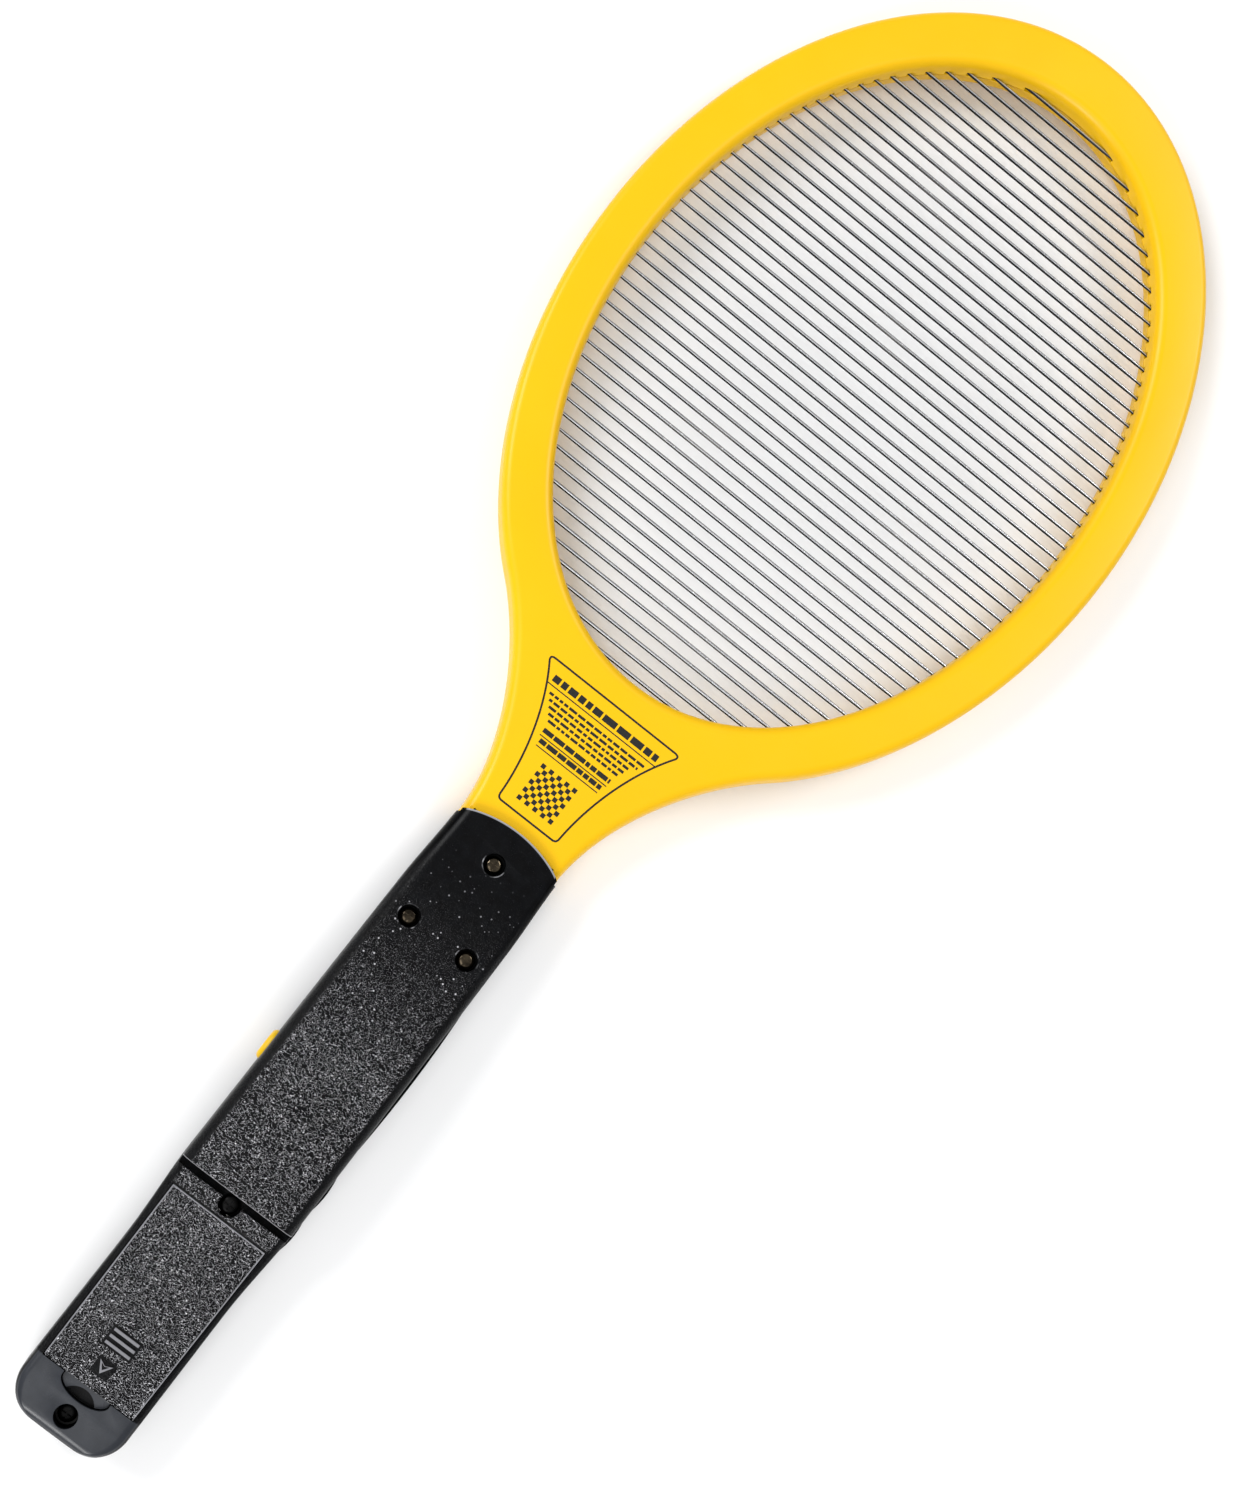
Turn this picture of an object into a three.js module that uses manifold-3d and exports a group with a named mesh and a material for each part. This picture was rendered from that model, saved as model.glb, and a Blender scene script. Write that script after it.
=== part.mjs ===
// Battery fly swatter with an electrified rod grid, in millimetres.
// It lies on its front with the back face up (+Z); +Y runs from the handle to the head's tip.
// Inside this file every piece is placed from the handle's butt (y = 0) and the plane where the
// front and back shells meet (z = 0); the exported group then moves the origin to the middle of
// the swatter's footprint.
import * as THREE from 'three';
import Module from 'manifold-3d';
import { mergeVertices } from 'three/addons/utils/BufferGeometryUtils.js';
import { LoftGeometry } from 'three/addons/geometries/LoftGeometry.js';

const wasm = await Module();
wasm.setup();

// ---- Driving dimensions ----
const TOTAL_LENGTH = 530;
const GAP = 0.3;
const WALL = 2;

const HEAD_HALF_WIDTH = 98;
const HEAD_HALF_LENGTH = 140;
const HEAD_HALF_THICKNESS = 7;
const HEAD_EDGE_RADIUS = 3;
const HOLE_HALF_WIDTH = 82;
const HOLE_HALF_LENGTH = 120.5;
const HOLE_CENTRE_Y = 388.5;
const NECK_HALF_WIDTH = 18;
const NECK_JOIN_ANGLE = 31;

const ROD_COUNT = 52;
const ROD_PITCH = 4.64;
const ROD_RADIUS = 0.6;
const ROD_Z = 0.95;
const BUS_OFFSET = 6;
const BUS_WIDTH = 2.6;
const BUS_END_ANGLE = 72;

const HANDLE_LENGTH = 205;
const BUTT_RADIUS = 10.5;
const BATTERY_HALF_WIDTH = 17.8;
const GRIP_HALF_WIDTH = 19.2;
const BATTERY_BACK_HEIGHT = 9.5;
const GRIP_BACK_HEIGHT = 14.5;
const JUNCTION_HEIGHT = 9.3;
const FRONT_DEPTH = 10.5;
const STEP_Y = 80;
const STEP_GROOVE_WIDTH = 2.2;
const STEP_GROOVE_FLOOR = 9;
const RAMP_RISE = 1.5;
const COLLAR_ARCH = 5;

const DOOR_START = 16.1;
const DOOR_END = 72.2;
const DOOR_HALF_WIDTH_START = 15.3;
const DOOR_HALF_WIDTH_END = 16.1;
const DOOR_THICKNESS = 1.8;
const LEDGE_HEIGHT = BATTERY_BACK_HEIGHT - DOOR_THICKNESS - GAP;

const DOOR_TABS_X = [-6, 6];
const DOOR_TAB_HALF_WIDTH = 2;
const DOOR_TAB_REACH = 1.4;
const DOOR_TAB_BOTTOM = 6;
const DOOR_TAB_TOP = 7.1;

const LATCH_HALF_WIDTH = 8;
const LATCH_DEPTH = 3.6;
const LATCH_FLOOR = 6.2;
const LATCH_TONGUE_TOP = 8.2;
const FINGER_SCOOP_RADIUS = 6;

const RIDGE_STARTS = [28, 30, 32];
const RIDGE_WIDTH = 0.8;
const RIDGE_HALF_LENGTH = 4.2;
const RIDGE_RISE = 0.5;
const ARROW_RISE = 0.3;

const BAY_START = 15.6;
const BAY_END = 74.2;
const BAY_HALF_WIDTH = 14.7;
const BAY_FLOOR = -8.5;
const CELL_RADIUS = 7.25;

const BUTTON_Y = 118;
const BUTTON_HALF_LENGTH = 5;
const BUTTON_HALF_HEIGHT = 3.6;
const BUTTON_CROWN = 1.6;
const BUTTON_OUTER_FACE = 20.6;
const BUTTON_INNER_FACE = 15.8;
const BUTTON_FLANGE_THICKNESS = 1;
const BUTTON_FLANGE_MARGIN = 1.4;
const BUTTON_TRAVEL = 1.2;

const PLUNGER_RADIUS = 1.6;
const PLUNGER_OUTER_END = -15.5;
const PLUNGER_INNER_END = -11.2;

const TANG_START = 163;
const TANG_HALF_WIDTH = 15.6;
const TANG_HALF_THICKNESS = 4.5;

const SCREW_HEAD_RADIUS = 2.7;
const SCREW_HEAD_HEIGHT = 1.6;
const SCREW_SHANK_RADIUS = 1.25;
const SCREW_TIP_Z = -7;
const SCREW_RECESS_RADIUS = 3.4;
const BOSS_RADIUS = 4.6;

const BOARD_TOP = -3;
const BOARD_THICKNESS = 1.6;
const BOARD_SIDES = [-12.4, 15.4];
const BOARD_ENDS = [90, 158];
const BOARD_FIXINGS = [[-9, 96], [12, 152]];
const BOARD_POSTS = [[-9, 96], [12, 96], [-9, 152], [12, 152]];
const LEAD_HALF_WIDTH = 0.25;
const LED_X = 3;
const LED_Y = 146;
const LED_RADIUS = 1.5;

const CONTACT_THICKNESS = 0.5;
const CONTACT_HEIGHTS = [-7.8, 4.5];
const CELL_AXIS_Z = -1.3;

// Each case screw: where it stands and the height of the ledge that its head sits on.
const CASE_SCREWS = [
  { x: 0, y: 198, ledge: 6.2 },
  { x: -10.5, y: 171, ledge: 7 },
  { x: 10.5, y: 171, ledge: 7 },
  { x: 0, y: 76.8, ledge: 6.8 },
  { x: 0, y: 6.5, ledge: 3 },
];
const TANG_SCREWS = CASE_SCREWS.slice(0, 3);

// Finger grips along the +X side of the front shell: start, end and how far each one swells.
const FINGER_GRIPS = [
  { start: 73, end: 86.5, swell: 1.2 },
  { start: 86.5, end: 102, swell: 1.4 },
  { start: 102, end: 163, swell: 1.5 },
];

const HEAD_CENTRE_Y = TOTAL_LENGTH - HEAD_HALF_LENGTH;
const SHOULDER_Y = HANDLE_LENGTH - GAP;

// ---- Materials ----
function material(color, roughness, metalness = 0) {
  return new THREE.MeshStandardMaterial({ color, roughness, metalness });
}
const YELLOW_PLASTIC = material(0xfccf1c, 0.35);
const BLACK_PLASTIC = material(0x1b1b1d, 0.5);
const DOOR_PLASTIC = material(0x1f1f21, 0.55);
const BUTTON_PLASTIC = material(0xf4c51a, 0.4);
const GRID_STEEL = material(0xc9cbcd, 0.2, 1);
const SCREW_STEEL = material(0x9a9c9f, 0.35, 1);
const CONTACT_NICKEL = material(0xd0d0cb, 0.25, 1);
const BOARD_GREEN = material(0x2f6b3f, 0.55);
const FERRITE = material(0x2b2b2e, 0.7);
const WINDING_TAPE = material(0xd9b23a, 0.5);
const CAPACITOR_RED = material(0x8e2a1c, 0.35);
const COMPONENT_BLACK = material(0x161617, 0.45);
const RESISTOR_BEIGE = material(0xcdb083, 0.5);
const LED_RED = material(0xc3231b, 0.15);
const SWITCH_GREY = material(0x4a4c50, 0.5);
const WIRE_RED = material(0xb01f1a, 0.45);
const WIRE_BLACK = material(0x202022, 0.45);

// ---- Solids ----
function toSolid(geometry) {
  const bare = new THREE.BufferGeometry();
  bare.setAttribute('position', geometry.attributes.position);
  bare.setIndex(geometry.index);
  const merged = mergeVertices(bare, 1e-4);
  return new wasm.Manifold(new wasm.Mesh({
    numProp: 3,
    vertProperties: merged.attributes.position.array,
    triVerts: Uint32Array.from(merged.index.array),
  }));
}

function toMesh(name, solid, look) {
  const result = solid.getMesh();
  const geometry = new THREE.BufferGeometry();
  geometry.setAttribute('position', new THREE.BufferAttribute(result.vertProperties, 3));
  geometry.setIndex(new THREE.BufferAttribute(result.triVerts, 1));
  geometry.computeVertexNormals();
  const mesh = new THREE.Mesh(geometry, look);
  mesh.name = name;
  return mesh;
}

function join(solids) {
  return solids.reduce((whole, solid) => whole.add(solid));
}

function cut(solid, tools) {
  return tools.reduce((rest, tool) => rest.subtract(tool), solid);
}

function box([x0, x1], [y0, y1], [z0, z1]) {
  const geometry = new THREE.BoxGeometry(x1 - x0, y1 - y0, z1 - z0);
  geometry.translate((x0 + x1) / 2, (y0 + y1) / 2, (z0 + z1) / 2);
  return toSolid(geometry);
}

// A cylinder standing along Z.
function post(radius, x, y, [z0, z1], sides = 20) {
  const geometry = new THREE.CylinderGeometry(radius, radius, z1 - z0, sides);
  geometry.rotateX(Math.PI / 2);
  geometry.translate(x, y, (z0 + z1) / 2);
  return toSolid(geometry);
}

// A cylinder lying along X.
function bar(radius, [x0, x1], y, z, sides = 16) {
  const geometry = new THREE.CylinderGeometry(radius, radius, x1 - x0, sides);
  geometry.rotateZ(Math.PI / 2);
  geometry.translate((x0 + x1) / 2, y, z);
  return toSolid(geometry);
}

function prism(shape, [z0, z1]) {
  const geometry = new THREE.ExtrudeGeometry(shape, { depth: z1 - z0, bevelEnabled: false });
  geometry.translate(0, 0, z0);
  return toSolid(geometry);
}

// A plate centred on z = 0 with every edge rounded.
function roundedPlate(shape, halfThickness, edgeRadius) {
  const geometry = new THREE.ExtrudeGeometry(shape, {
    depth: 2 * (halfThickness - edgeRadius),
    bevelThickness: edgeRadius,
    bevelSize: edgeRadius,
    bevelOffset: -edgeRadius,
    bevelSegments: 2,
  });
  geometry.translate(0, 0, edgeRadius - halfThickness);
  return toSolid(geometry);
}

function wire(points, radius, steps) {
  const section = new THREE.Shape(new THREE.EllipseCurve(0, 0, radius, radius).getPoints(6).slice(0, 6));
  const path = new THREE.CatmullRomCurve3(points.map(([x, y, z]) => new THREE.Vector3(x, y, z)));
  const options = { steps, bevelEnabled: false, extrudePath: path };
  return toSolid(new THREE.ExtrudeGeometry(section, options));
}

const BACK_HALF = box([-200, 200], [-50, 600], [GAP / 2, 60]);
const FRONT_HALF = box([-200, 200], [-50, 600], [-60, -GAP / 2]);

// ---- Head: two yellow frame halves ----
function ellipsePoints(centreY, halfWidth, halfLength, startDegrees, endDegrees, count) {
  const start = THREE.MathUtils.degToRad(startDegrees);
  const end = THREE.MathUtils.degToRad(endDegrees);
  return new THREE.EllipseCurve(0, centreY, halfWidth, halfLength, start, end).getPoints(count);
}

function holeShape(offset) {
  const halfWidth = HOLE_HALF_WIDTH + offset;
  const halfLength = HOLE_HALF_LENGTH + offset;
  return ellipsePoints(HOLE_CENTRE_Y, halfWidth, halfLength, 0, 360, 60).slice(0, 60);
}

// One side of the neck: it leaves the handle straight and flares out to meet the ellipse.
function neckCurve(joinPoint, halfWidth, startY) {
  const side = Math.sign(joinPoint.x);
  return new THREE.CubicBezierCurve(
    new THREE.Vector2(side * halfWidth, startY),
    new THREE.Vector2(side * halfWidth, startY + 23),
    new THREE.Vector2(joinPoint.x - side * 17.5, joinPoint.y - 16),
    joinPoint,
  ).getPoints(8);
}

// The head's outline with its neck, drawn in by an inset for the cavity inside it.
function headShape(inset, neckStart) {
  const halfWidth = HEAD_HALF_WIDTH - inset;
  const halfLength = HEAD_HALF_LENGTH - inset;
  const start = NECK_JOIN_ANGLE - 90;
  const ring = ellipsePoints(HEAD_CENTRE_Y, halfWidth, halfLength, start, 180 - start, 52);
  const right = neckCurve(ring[0], NECK_HALF_WIDTH - inset, neckStart);
  const left = neckCurve(ring[ring.length - 1], NECK_HALF_WIDTH - inset, neckStart);
  return new THREE.Shape([...right.slice(0, -1), ...ring, ...left.reverse().slice(1)]);
}

function rodY(index) {
  return HOLE_CENTRE_Y + (index - (ROD_COUNT - 1) / 2) * ROD_PITCH;
}

// Half the width, at height y, of the hole's ellipse grown by an offset.
function holeHalfWidthAt(y, offset) {
  const ratio = (y - HOLE_CENTRE_Y) / (HOLE_HALF_LENGTH + offset);
  return (HOLE_HALF_WIDTH + offset) * Math.sqrt(Math.max(0, 1 - ratio * ratio));
}

function headSolid() {
  const outline = headShape(0, SHOULDER_Y);
  outline.holes.push(new THREE.Path(holeShape(0)));
  const ring = roundedPlate(outline, HEAD_HALF_THICKNESS, HEAD_EDGE_RADIUS);
  const tang = box(
    [-TANG_HALF_WIDTH, TANG_HALF_WIDTH],
    [TANG_START, SHOULDER_Y + 8],
    [-TANG_HALF_THICKNESS, TANG_HALF_THICKNESS],
  );

  const cavityOutline = headShape(WALL + 0.2, SHOULDER_Y + WALL);
  cavityOutline.holes.push(new THREE.Path(holeShape(WALL + 0.2)));
  const depth = HEAD_HALF_THICKNESS - WALL;
  const cavity = prism(cavityOutline, [-depth, depth]);
  const tangCavityWidth = TANG_HALF_WIDTH - WALL;
  const tangCavityDepth = TANG_HALF_THICKNESS - WALL;
  const tangCavity = box(
    [-tangCavityWidth, tangCavityWidth],
    [TANG_START - 1, SHOULDER_Y + 12],
    [-tangCavityDepth, tangCavityDepth],
  );
  const pads = TANG_SCREWS.map(({ x, y }) => post(3.6, x, y, [-10, 10]));
  const screwHoles = TANG_SCREWS.map(({ x, y }) => post(SCREW_SHANK_RADIUS + 0.45, x, y, [-10, 10], 16));
  return cut(ring.add(tang), [cut(cavity.add(tangCavity), pads), ...screwHoles]);
}

// Notches in the inner wall of the back half, one at each end of every rod.
function rodNotches() {
  const notches = [];
  for (let index = 0; index < ROD_COUNT; index += 1) {
    const y = rodY(index);
    const reach = holeHalfWidthAt(y, WALL + 1.2);
    const half = ROD_RADIUS + GAP;
    notches.push(box([-reach, reach], [y - half, y + half], [-1, ROD_Z + half]));
  }
  return join(notches);
}

// ---- Grid: two combs of parallel rods, one for each polarity ----
function busStrip(side) {
  const inner = BUS_OFFSET - BUS_WIDTH / 2;
  const outer = BUS_OFFSET + BUS_WIDTH / 2;
  const arc = (offset) => ellipsePoints(
    HOLE_CENTRE_Y, side * (HOLE_HALF_WIDTH + offset), HOLE_HALF_LENGTH + offset,
    -BUS_END_ANGLE, BUS_END_ANGLE, 28,
  );
  const outline = new THREE.Shape([...arc(outer), ...arc(inner).reverse()]);
  return prism(outline, [ROD_Z - 0.45, ROD_Z + 0.45]);
}

// Every second rod belongs to this comb; side is -1 or +1 for the edge its bus strip runs along.
function gridComb(side, firstRod) {
  const pieces = [busStrip(side)];
  for (let index = firstRod; index < ROD_COUNT; index += 2) {
    const y = rodY(index);
    const busEnd = side * holeHalfWidthAt(y, BUS_OFFSET);
    const freeEnd = -side * (holeHalfWidthAt(y, 0) + 3);
    pieces.push(bar(ROD_RADIUS, [Math.min(busEnd, freeEnd), Math.max(busEnd, freeEnd)], y, ROD_Z, 6));
  }
  return join(pieces);
}

// ---- Handle shells ----
function halfWidthAt(y) {
  const swell = THREE.MathUtils.smoothstep(y, 52, 82) * (GRIP_HALF_WIDTH - BATTERY_HALF_WIDTH);
  const narrowing = THREE.MathUtils.smoothstep(y, 180, 206) * 0.8;
  const depthInRound = Math.max(0, BUTT_RADIUS - y);
  const rounding = BUTT_RADIUS - Math.sqrt(BUTT_RADIUS ** 2 - depthInRound ** 2);
  return BATTERY_HALF_WIDTH + swell - narrowing - rounding;
}

// How much the faces drop close to the butt, where the end is rounded over.
function buttDrop(y) {
  const radius = 3;
  const depthInRound = Math.max(0, radius - y);
  return radius - Math.sqrt(radius ** 2 - depthInRound ** 2);
}

function backHeightAt(y) {
  if (y <= STEP_Y) {
    const ramp = THREE.MathUtils.clamp((y - DOOR_END) / (STEP_Y - DOOR_END), 0, 1);
    return BATTERY_BACK_HEIGHT + RAMP_RISE * ramp - buttDrop(y);
  }
  const fall = THREE.MathUtils.smoothstep(y, 110, 206) * (GRIP_BACK_HEIGHT - JUNCTION_HEIGHT);
  return GRIP_BACK_HEIGHT - fall;
}

function frontDepthAt(y) {
  const fall = THREE.MathUtils.smoothstep(y, 150, 206) * (FRONT_DEPTH - JUNCTION_HEIGHT);
  return FRONT_DEPTH - fall - buttDrop(y);
}

function gripSwellAt(y) {
  const grip = FINGER_GRIPS.find(({ start, end }) => y > start && y < end);
  if (!grip) {
    return 0;
  }
  return grip.swell * Math.sin((Math.PI * (y - grip.start)) / (grip.end - grip.start)) ** 0.6;
}

// Half of the handle's cross-section above the parting plane, as a ring of points:
// a flat base, two walls and a top with two round corners.
function halfSection(y, left, right, height, cornerRadius) {
  const arcSteps = 5;
  const points = [new THREE.Vector3(-left, y, 0), new THREE.Vector3(right, y, 0)];
  for (let step = 0; step <= arcSteps; step += 1) {
    const angle = (Math.PI / 2) * (step / arcSteps);
    const reach = cornerRadius * (1 - Math.cos(angle));
    const rise = cornerRadius * (1 - Math.sin(angle));
    points.push(new THREE.Vector3(right - reach, y, height - rise));
  }
  for (let step = 0; step <= arcSteps; step += 1) {
    const angle = (Math.PI / 2) * (1 - step / arcSteps);
    const reach = cornerRadius * (1 - Math.cos(angle));
    const rise = cornerRadius * (1 - Math.sin(angle));
    points.push(new THREE.Vector3(-left + reach, y, height - rise));
  }
  return points;
}

function loftHalf(stations, sectionAt) {
  return toSolid(new LoftGeometry(stations.map(sectionAt).reverse(), { capStart: true, capEnd: true }));
}

const BUTT_STATIONS = [0, 0.8, 2.4, 5, 8, BUTT_RADIUS];

function backOuter(inset, stations) {
  return loftHalf(stations, (y) => {
    const halfWidth = halfWidthAt(y) - inset;
    const cornerRadius = (y <= STEP_Y ? 3 : 4.5) - inset / 2;
    return halfSection(y, halfWidth, halfWidth, backHeightAt(y) - inset, cornerRadius);
  });
}

function frontOuter(inset, stations) {
  const half = loftHalf(stations, (y) => {
    const halfWidth = halfWidthAt(y) - inset;
    const swell = inset > 0 ? 0 : gripSwellAt(y);
    const cornerRadius = 5 - inset / 2;
    return halfSection(y, halfWidth, halfWidth + swell, frontDepthAt(y) - inset, cornerRadius);
  });
  return half.mirror([0, 0, 1]);
}

function gripStations() {
  const stations = [];
  for (const { start, end } of FINGER_GRIPS) {
    const count = end - start > 30 ? 8 : 5;
    for (let step = 0; step < count; step += 1) {
      stations.push(start + ((end - start) * step) / count);
    }
  }
  return stations;
}

// The arched edge where both shells end over the neck, and the room for the neck under it.
function collarCuts() {
  const radius = (GRIP_HALF_WIDTH ** 2 + COLLAR_ARCH ** 2) / (2 * COLLAR_ARCH);
  const beyond = box([-60, 60], [190, 260], [-40, 40]);
  const arch = beyond.subtract(post(radius, 0, HANDLE_LENGTH + COLLAR_ARCH - radius, [-50, 50], 96));
  const neckRoom = HEAD_HALF_THICKNESS + GAP;
  return [arch, box([-60, 60], [SHOULDER_Y - GAP, 260], [-neckRoom, neckRoom])];
}

function doorShape(grow) {
  return new THREE.Shape([
    new THREE.Vector2(-DOOR_HALF_WIDTH_START - grow, DOOR_START - grow),
    new THREE.Vector2(DOOR_HALF_WIDTH_START + grow, DOOR_START - grow),
    new THREE.Vector2(DOOR_HALF_WIDTH_END + grow, DOOR_END + grow),
    new THREE.Vector2(-DOOR_HALF_WIDTH_END - grow, DOOR_END + grow),
  ]);
}

// The D-shaped finger recess beyond the door's latch end.
function latchRecessShape(grow) {
  const chord = DOOR_START - 1.2;
  const halfWidth = LATCH_HALF_WIDTH + grow;
  return new THREE.Shape([
    new THREE.Vector2(-halfWidth, DOOR_START + 1),
    ...ellipsePoints(chord, halfWidth, LATCH_DEPTH + grow, 180, 360, 14),
    new THREE.Vector2(halfWidth, DOOR_START + 1),
  ]);
}

// The opening arrow moulded on the door, pointing at the latch.
function arrowShape() {
  return new THREE.Shape([
    new THREE.Vector2(0, 20.6),
    new THREE.Vector2(2.2, 24),
    new THREE.Vector2(0, 23),
    new THREE.Vector2(-2.2, 24),
  ]);
}

function buttonShape(grow) {
  const halfLength = BUTTON_HALF_LENGTH + grow;
  const radius = BUTTON_HALF_HEIGHT + grow;
  const shape = new THREE.Shape();
  shape.absarc(halfLength - radius, 0, radius, -Math.PI / 2, Math.PI / 2, false);
  shape.absarc(radius - halfLength, 0, radius, Math.PI / 2, (3 * Math.PI) / 2, false);
  return shape;
}

// Turns a solid drawn with its outline in XY and its depth along Z, so that the outline's X
// runs along the handle and its depth runs out of the -X side wall.
function standInSideWall(geometry) {
  geometry.rotateZ(Math.PI / 2);
  geometry.rotateY(-Math.PI / 2);
  return geometry;
}

function buttonHole() {
  const options = { depth: 8, bevelEnabled: false, curveSegments: 8 };
  const geometry = standInSideWall(new THREE.ExtrudeGeometry(buttonShape(GAP), options));
  geometry.translate(-15, BUTTON_Y, 0);
  return toSolid(geometry);
}

function bayRoom() {
  return box([-BAY_HALF_WIDTH, BAY_HALF_WIDTH], [BAY_START, BAY_END], [BAY_FLOOR, LEDGE_HEIGHT]);
}

// Hollows either side of the butt screw.
function buttPockets() {
  const pocket = (x) => box([x - 3.4, x + 3.4], [4.2, 12.6], [-8, 7]);
  return [pocket(-9.6), pocket(9.6)];
}

function handleBackShell() {
  const stations = [...BUTT_STATIONS, 50, 58, 66, DOOR_END, STEP_Y, STEP_Y + 0.5];
  const gripPart = [84, 110, 125, 140, 155, 170, 185, 200, 212];
  const outer = backOuter(0, [...stations, ...gripPart]);
  const cavity = backOuter(WALL, [84, 110, 125, 140, 155, 170, 185, 200, 214]);
  const bosses = TANG_SCREWS.map(({ x, y }) => {
    const column = post(BOSS_RADIUS, x, y, [TANG_HALF_THICKNESS + GAP, 30]);
    return column.intersect(outer);
  });
  const doorRoom = prism(doorShape(GAP), [LEDGE_HEIGHT - 0.01, 30]);
  const bay = bayRoom();
  const tabReach = DOOR_END + DOOR_TAB_REACH + 1;
  const tabRooms = DOOR_TABS_X.map((x) => {
    const halfWidth = DOOR_TAB_HALF_WIDTH + GAP;
    const heights = [DOOR_TAB_BOTTOM - 1.4, DOOR_TAB_TOP + 0.5];
    return box([x - halfWidth, x + halfWidth], [DOOR_END - 4, tabReach], heights);
  });
  const latchRoom = prism(latchRecessShape(0), [LATCH_FLOOR, 30]);
  const grooveStart = STEP_Y - STEP_GROOVE_WIDTH;
  const stepGroove = box([-30, 30], [grooveStart, STEP_Y], [STEP_GROOVE_FLOOR, 30]);
  const recesses = CASE_SCREWS.map(({ x, y, ledge }) => post(SCREW_RECESS_RADIUS, x, y, [ledge, 30], 24));
  const holes = CASE_SCREWS.map(({ x, y }) => post(SCREW_SHANK_RADIUS + GAP, x, y, [-20, 30], 16));
  const rooms = [cavity, bay, doorRoom, latchRoom, stepGroove, ...tabRooms, ...buttPockets()];
  const hollow = cut(outer, rooms);
  const solid = cut(join([hollow, ...bosses]), [...recesses, ...holes, buttonHole(), ...collarCuts()]);
  return solid.intersect(BACK_HALF);
}

function handleFrontShell() {
  const stations = [...BUTT_STATIONS, 50, 62, ...gripStations(), 163, 180, 195, 212];
  const outer = frontOuter(0, stations);
  const cavity = frontOuter(WALL, [84, 150, 165, 180, 195, 214]);
  const bosses = TANG_SCREWS.map(({ x, y }) => {
    const column = post(BOSS_RADIUS, x, y, [-30, -TANG_HALF_THICKNESS - GAP]);
    return column.intersect(outer);
  });
  const boardPosts = BOARD_POSTS.map(([x, y]) => {
    return post(2.2, x, y, [-FRONT_DEPTH + 1, BOARD_TOP - BOARD_THICKNESS - GAP], 12);
  });
  const leadChannels = [-12, 12].map((x) => box([x - 1.6, x + 1.6], [BAY_END - 1, 86], [-4.4, 1]));
  const pilots = CASE_SCREWS.map(({ x, y }) => post(SCREW_SHANK_RADIUS + GAP, x, y, [SCREW_TIP_Z - 0.6, 30], 16));
  const ledHole = post(LED_RADIUS + GAP, LED_X, LED_Y, [-20, -6], 16);
  const hollow = cut(outer, [cavity, bayRoom(), ...leadChannels, ...buttPockets()]);
  const whole = join([hollow, ...bosses, ...boardPosts]);
  const solid = cut(whole, [...pilots, ledHole, buttonHole(), ...collarCuts()]);
  return solid.intersect(FRONT_HALF);
}

// ---- Battery door ----
function batteryDoor() {
  const outer = backOuter(0, [...BUTT_STATIONS, 50, 58, 66, DOOR_END, STEP_Y]);
  const bottom = BATTERY_BACK_HEIGHT - DOOR_THICKNESS;
  const panel = prism(doorShape(0), [bottom, 30]).intersect(outer);
  const tabs = DOOR_TABS_X.map((x) => {
    const sides = [x - DOOR_TAB_HALF_WIDTH, x + DOOR_TAB_HALF_WIDTH];
    const root = DOOR_END - 2.6;
    return join([
      box(sides, [root, DOOR_END - 0.8], [DOOR_TAB_BOTTOM, bottom + 0.2]),
      box(sides, [root, DOOR_END + DOOR_TAB_REACH], [DOOR_TAB_BOTTOM, DOOR_TAB_TOP]),
    ]);
  });
  const tongueBottom = LATCH_FLOOR + 0.4;
  const tongue = prism(latchRecessShape(-GAP - 0.1), [tongueBottom, LATCH_TONGUE_TOP]);
  const tongueRoot = box([-7.4, 7.4], [DOOR_START, DOOR_START + 1.4], [tongueBottom, bottom + 0.2]);
  const fingerScoop = post(FINGER_SCOOP_RADIUS, 0, DOOR_START - 7.2, [LATCH_TONGUE_TOP - 0.9, 30], 32);
  const ridges = RIDGE_STARTS.map((start) => {
    const sides = [-RIDGE_HALF_LENGTH, RIDGE_HALF_LENGTH];
    return box(sides, [start, start + RIDGE_WIDTH], [bottom + 1, BATTERY_BACK_HEIGHT + RIDGE_RISE]);
  });
  const arrow = prism(arrowShape(), [bottom + 1, BATTERY_BACK_HEIGHT + ARROW_RISE]);
  return cut(join([panel, ...tabs, tongue, tongueRoot, ...ridges, arrow]), [fingerScoop]);
}

// ---- Push button and its switch ----
function powerButton() {
  const cap = standInSideWall(new THREE.ExtrudeGeometry(buttonShape(0), {
    depth: BUTTON_OUTER_FACE - BUTTON_INNER_FACE - BUTTON_CROWN,
    bevelThickness: BUTTON_CROWN,
    bevelSize: BUTTON_CROWN,
    bevelOffset: -BUTTON_CROWN,
    bevelSegments: 3,
    curveSegments: 8,
  }));
  cap.translate(-BUTTON_INNER_FACE, BUTTON_Y, 0);
  const flangeLength = BUTTON_HALF_LENGTH + BUTTON_FLANGE_MARGIN;
  const flangeHeight = BUTTON_HALF_HEIGHT + BUTTON_FLANGE_MARGIN;
  const flange = box(
    [-BUTTON_INNER_FACE - BUTTON_FLANGE_THICKNESS, -BUTTON_INNER_FACE],
    [BUTTON_Y - flangeLength, BUTTON_Y + flangeLength],
    [-flangeHeight, flangeHeight],
  );
  const inside = box([-BUTTON_INNER_FACE, 0], [BUTTON_Y - 20, BUTTON_Y + 20], [-20, 20]);
  return toSolid(cap).add(flange).subtract(inside);
}

function switchPlunger() {
  return bar(PLUNGER_RADIUS, [PLUNGER_OUTER_END, PLUNGER_INNER_END], BUTTON_Y, 0);
}

function pushSwitch() {
  const body = box([-13, -6.5], [BUTTON_Y - 4, BUTTON_Y + 4], [BOARD_TOP + GAP, 3]);
  const well = bar(PLUNGER_RADIUS + GAP, [-14, PLUNGER_INNER_END + BUTTON_TRAVEL + 0.4], BUTTON_Y, 0);
  return body.subtract(well);
}

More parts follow.
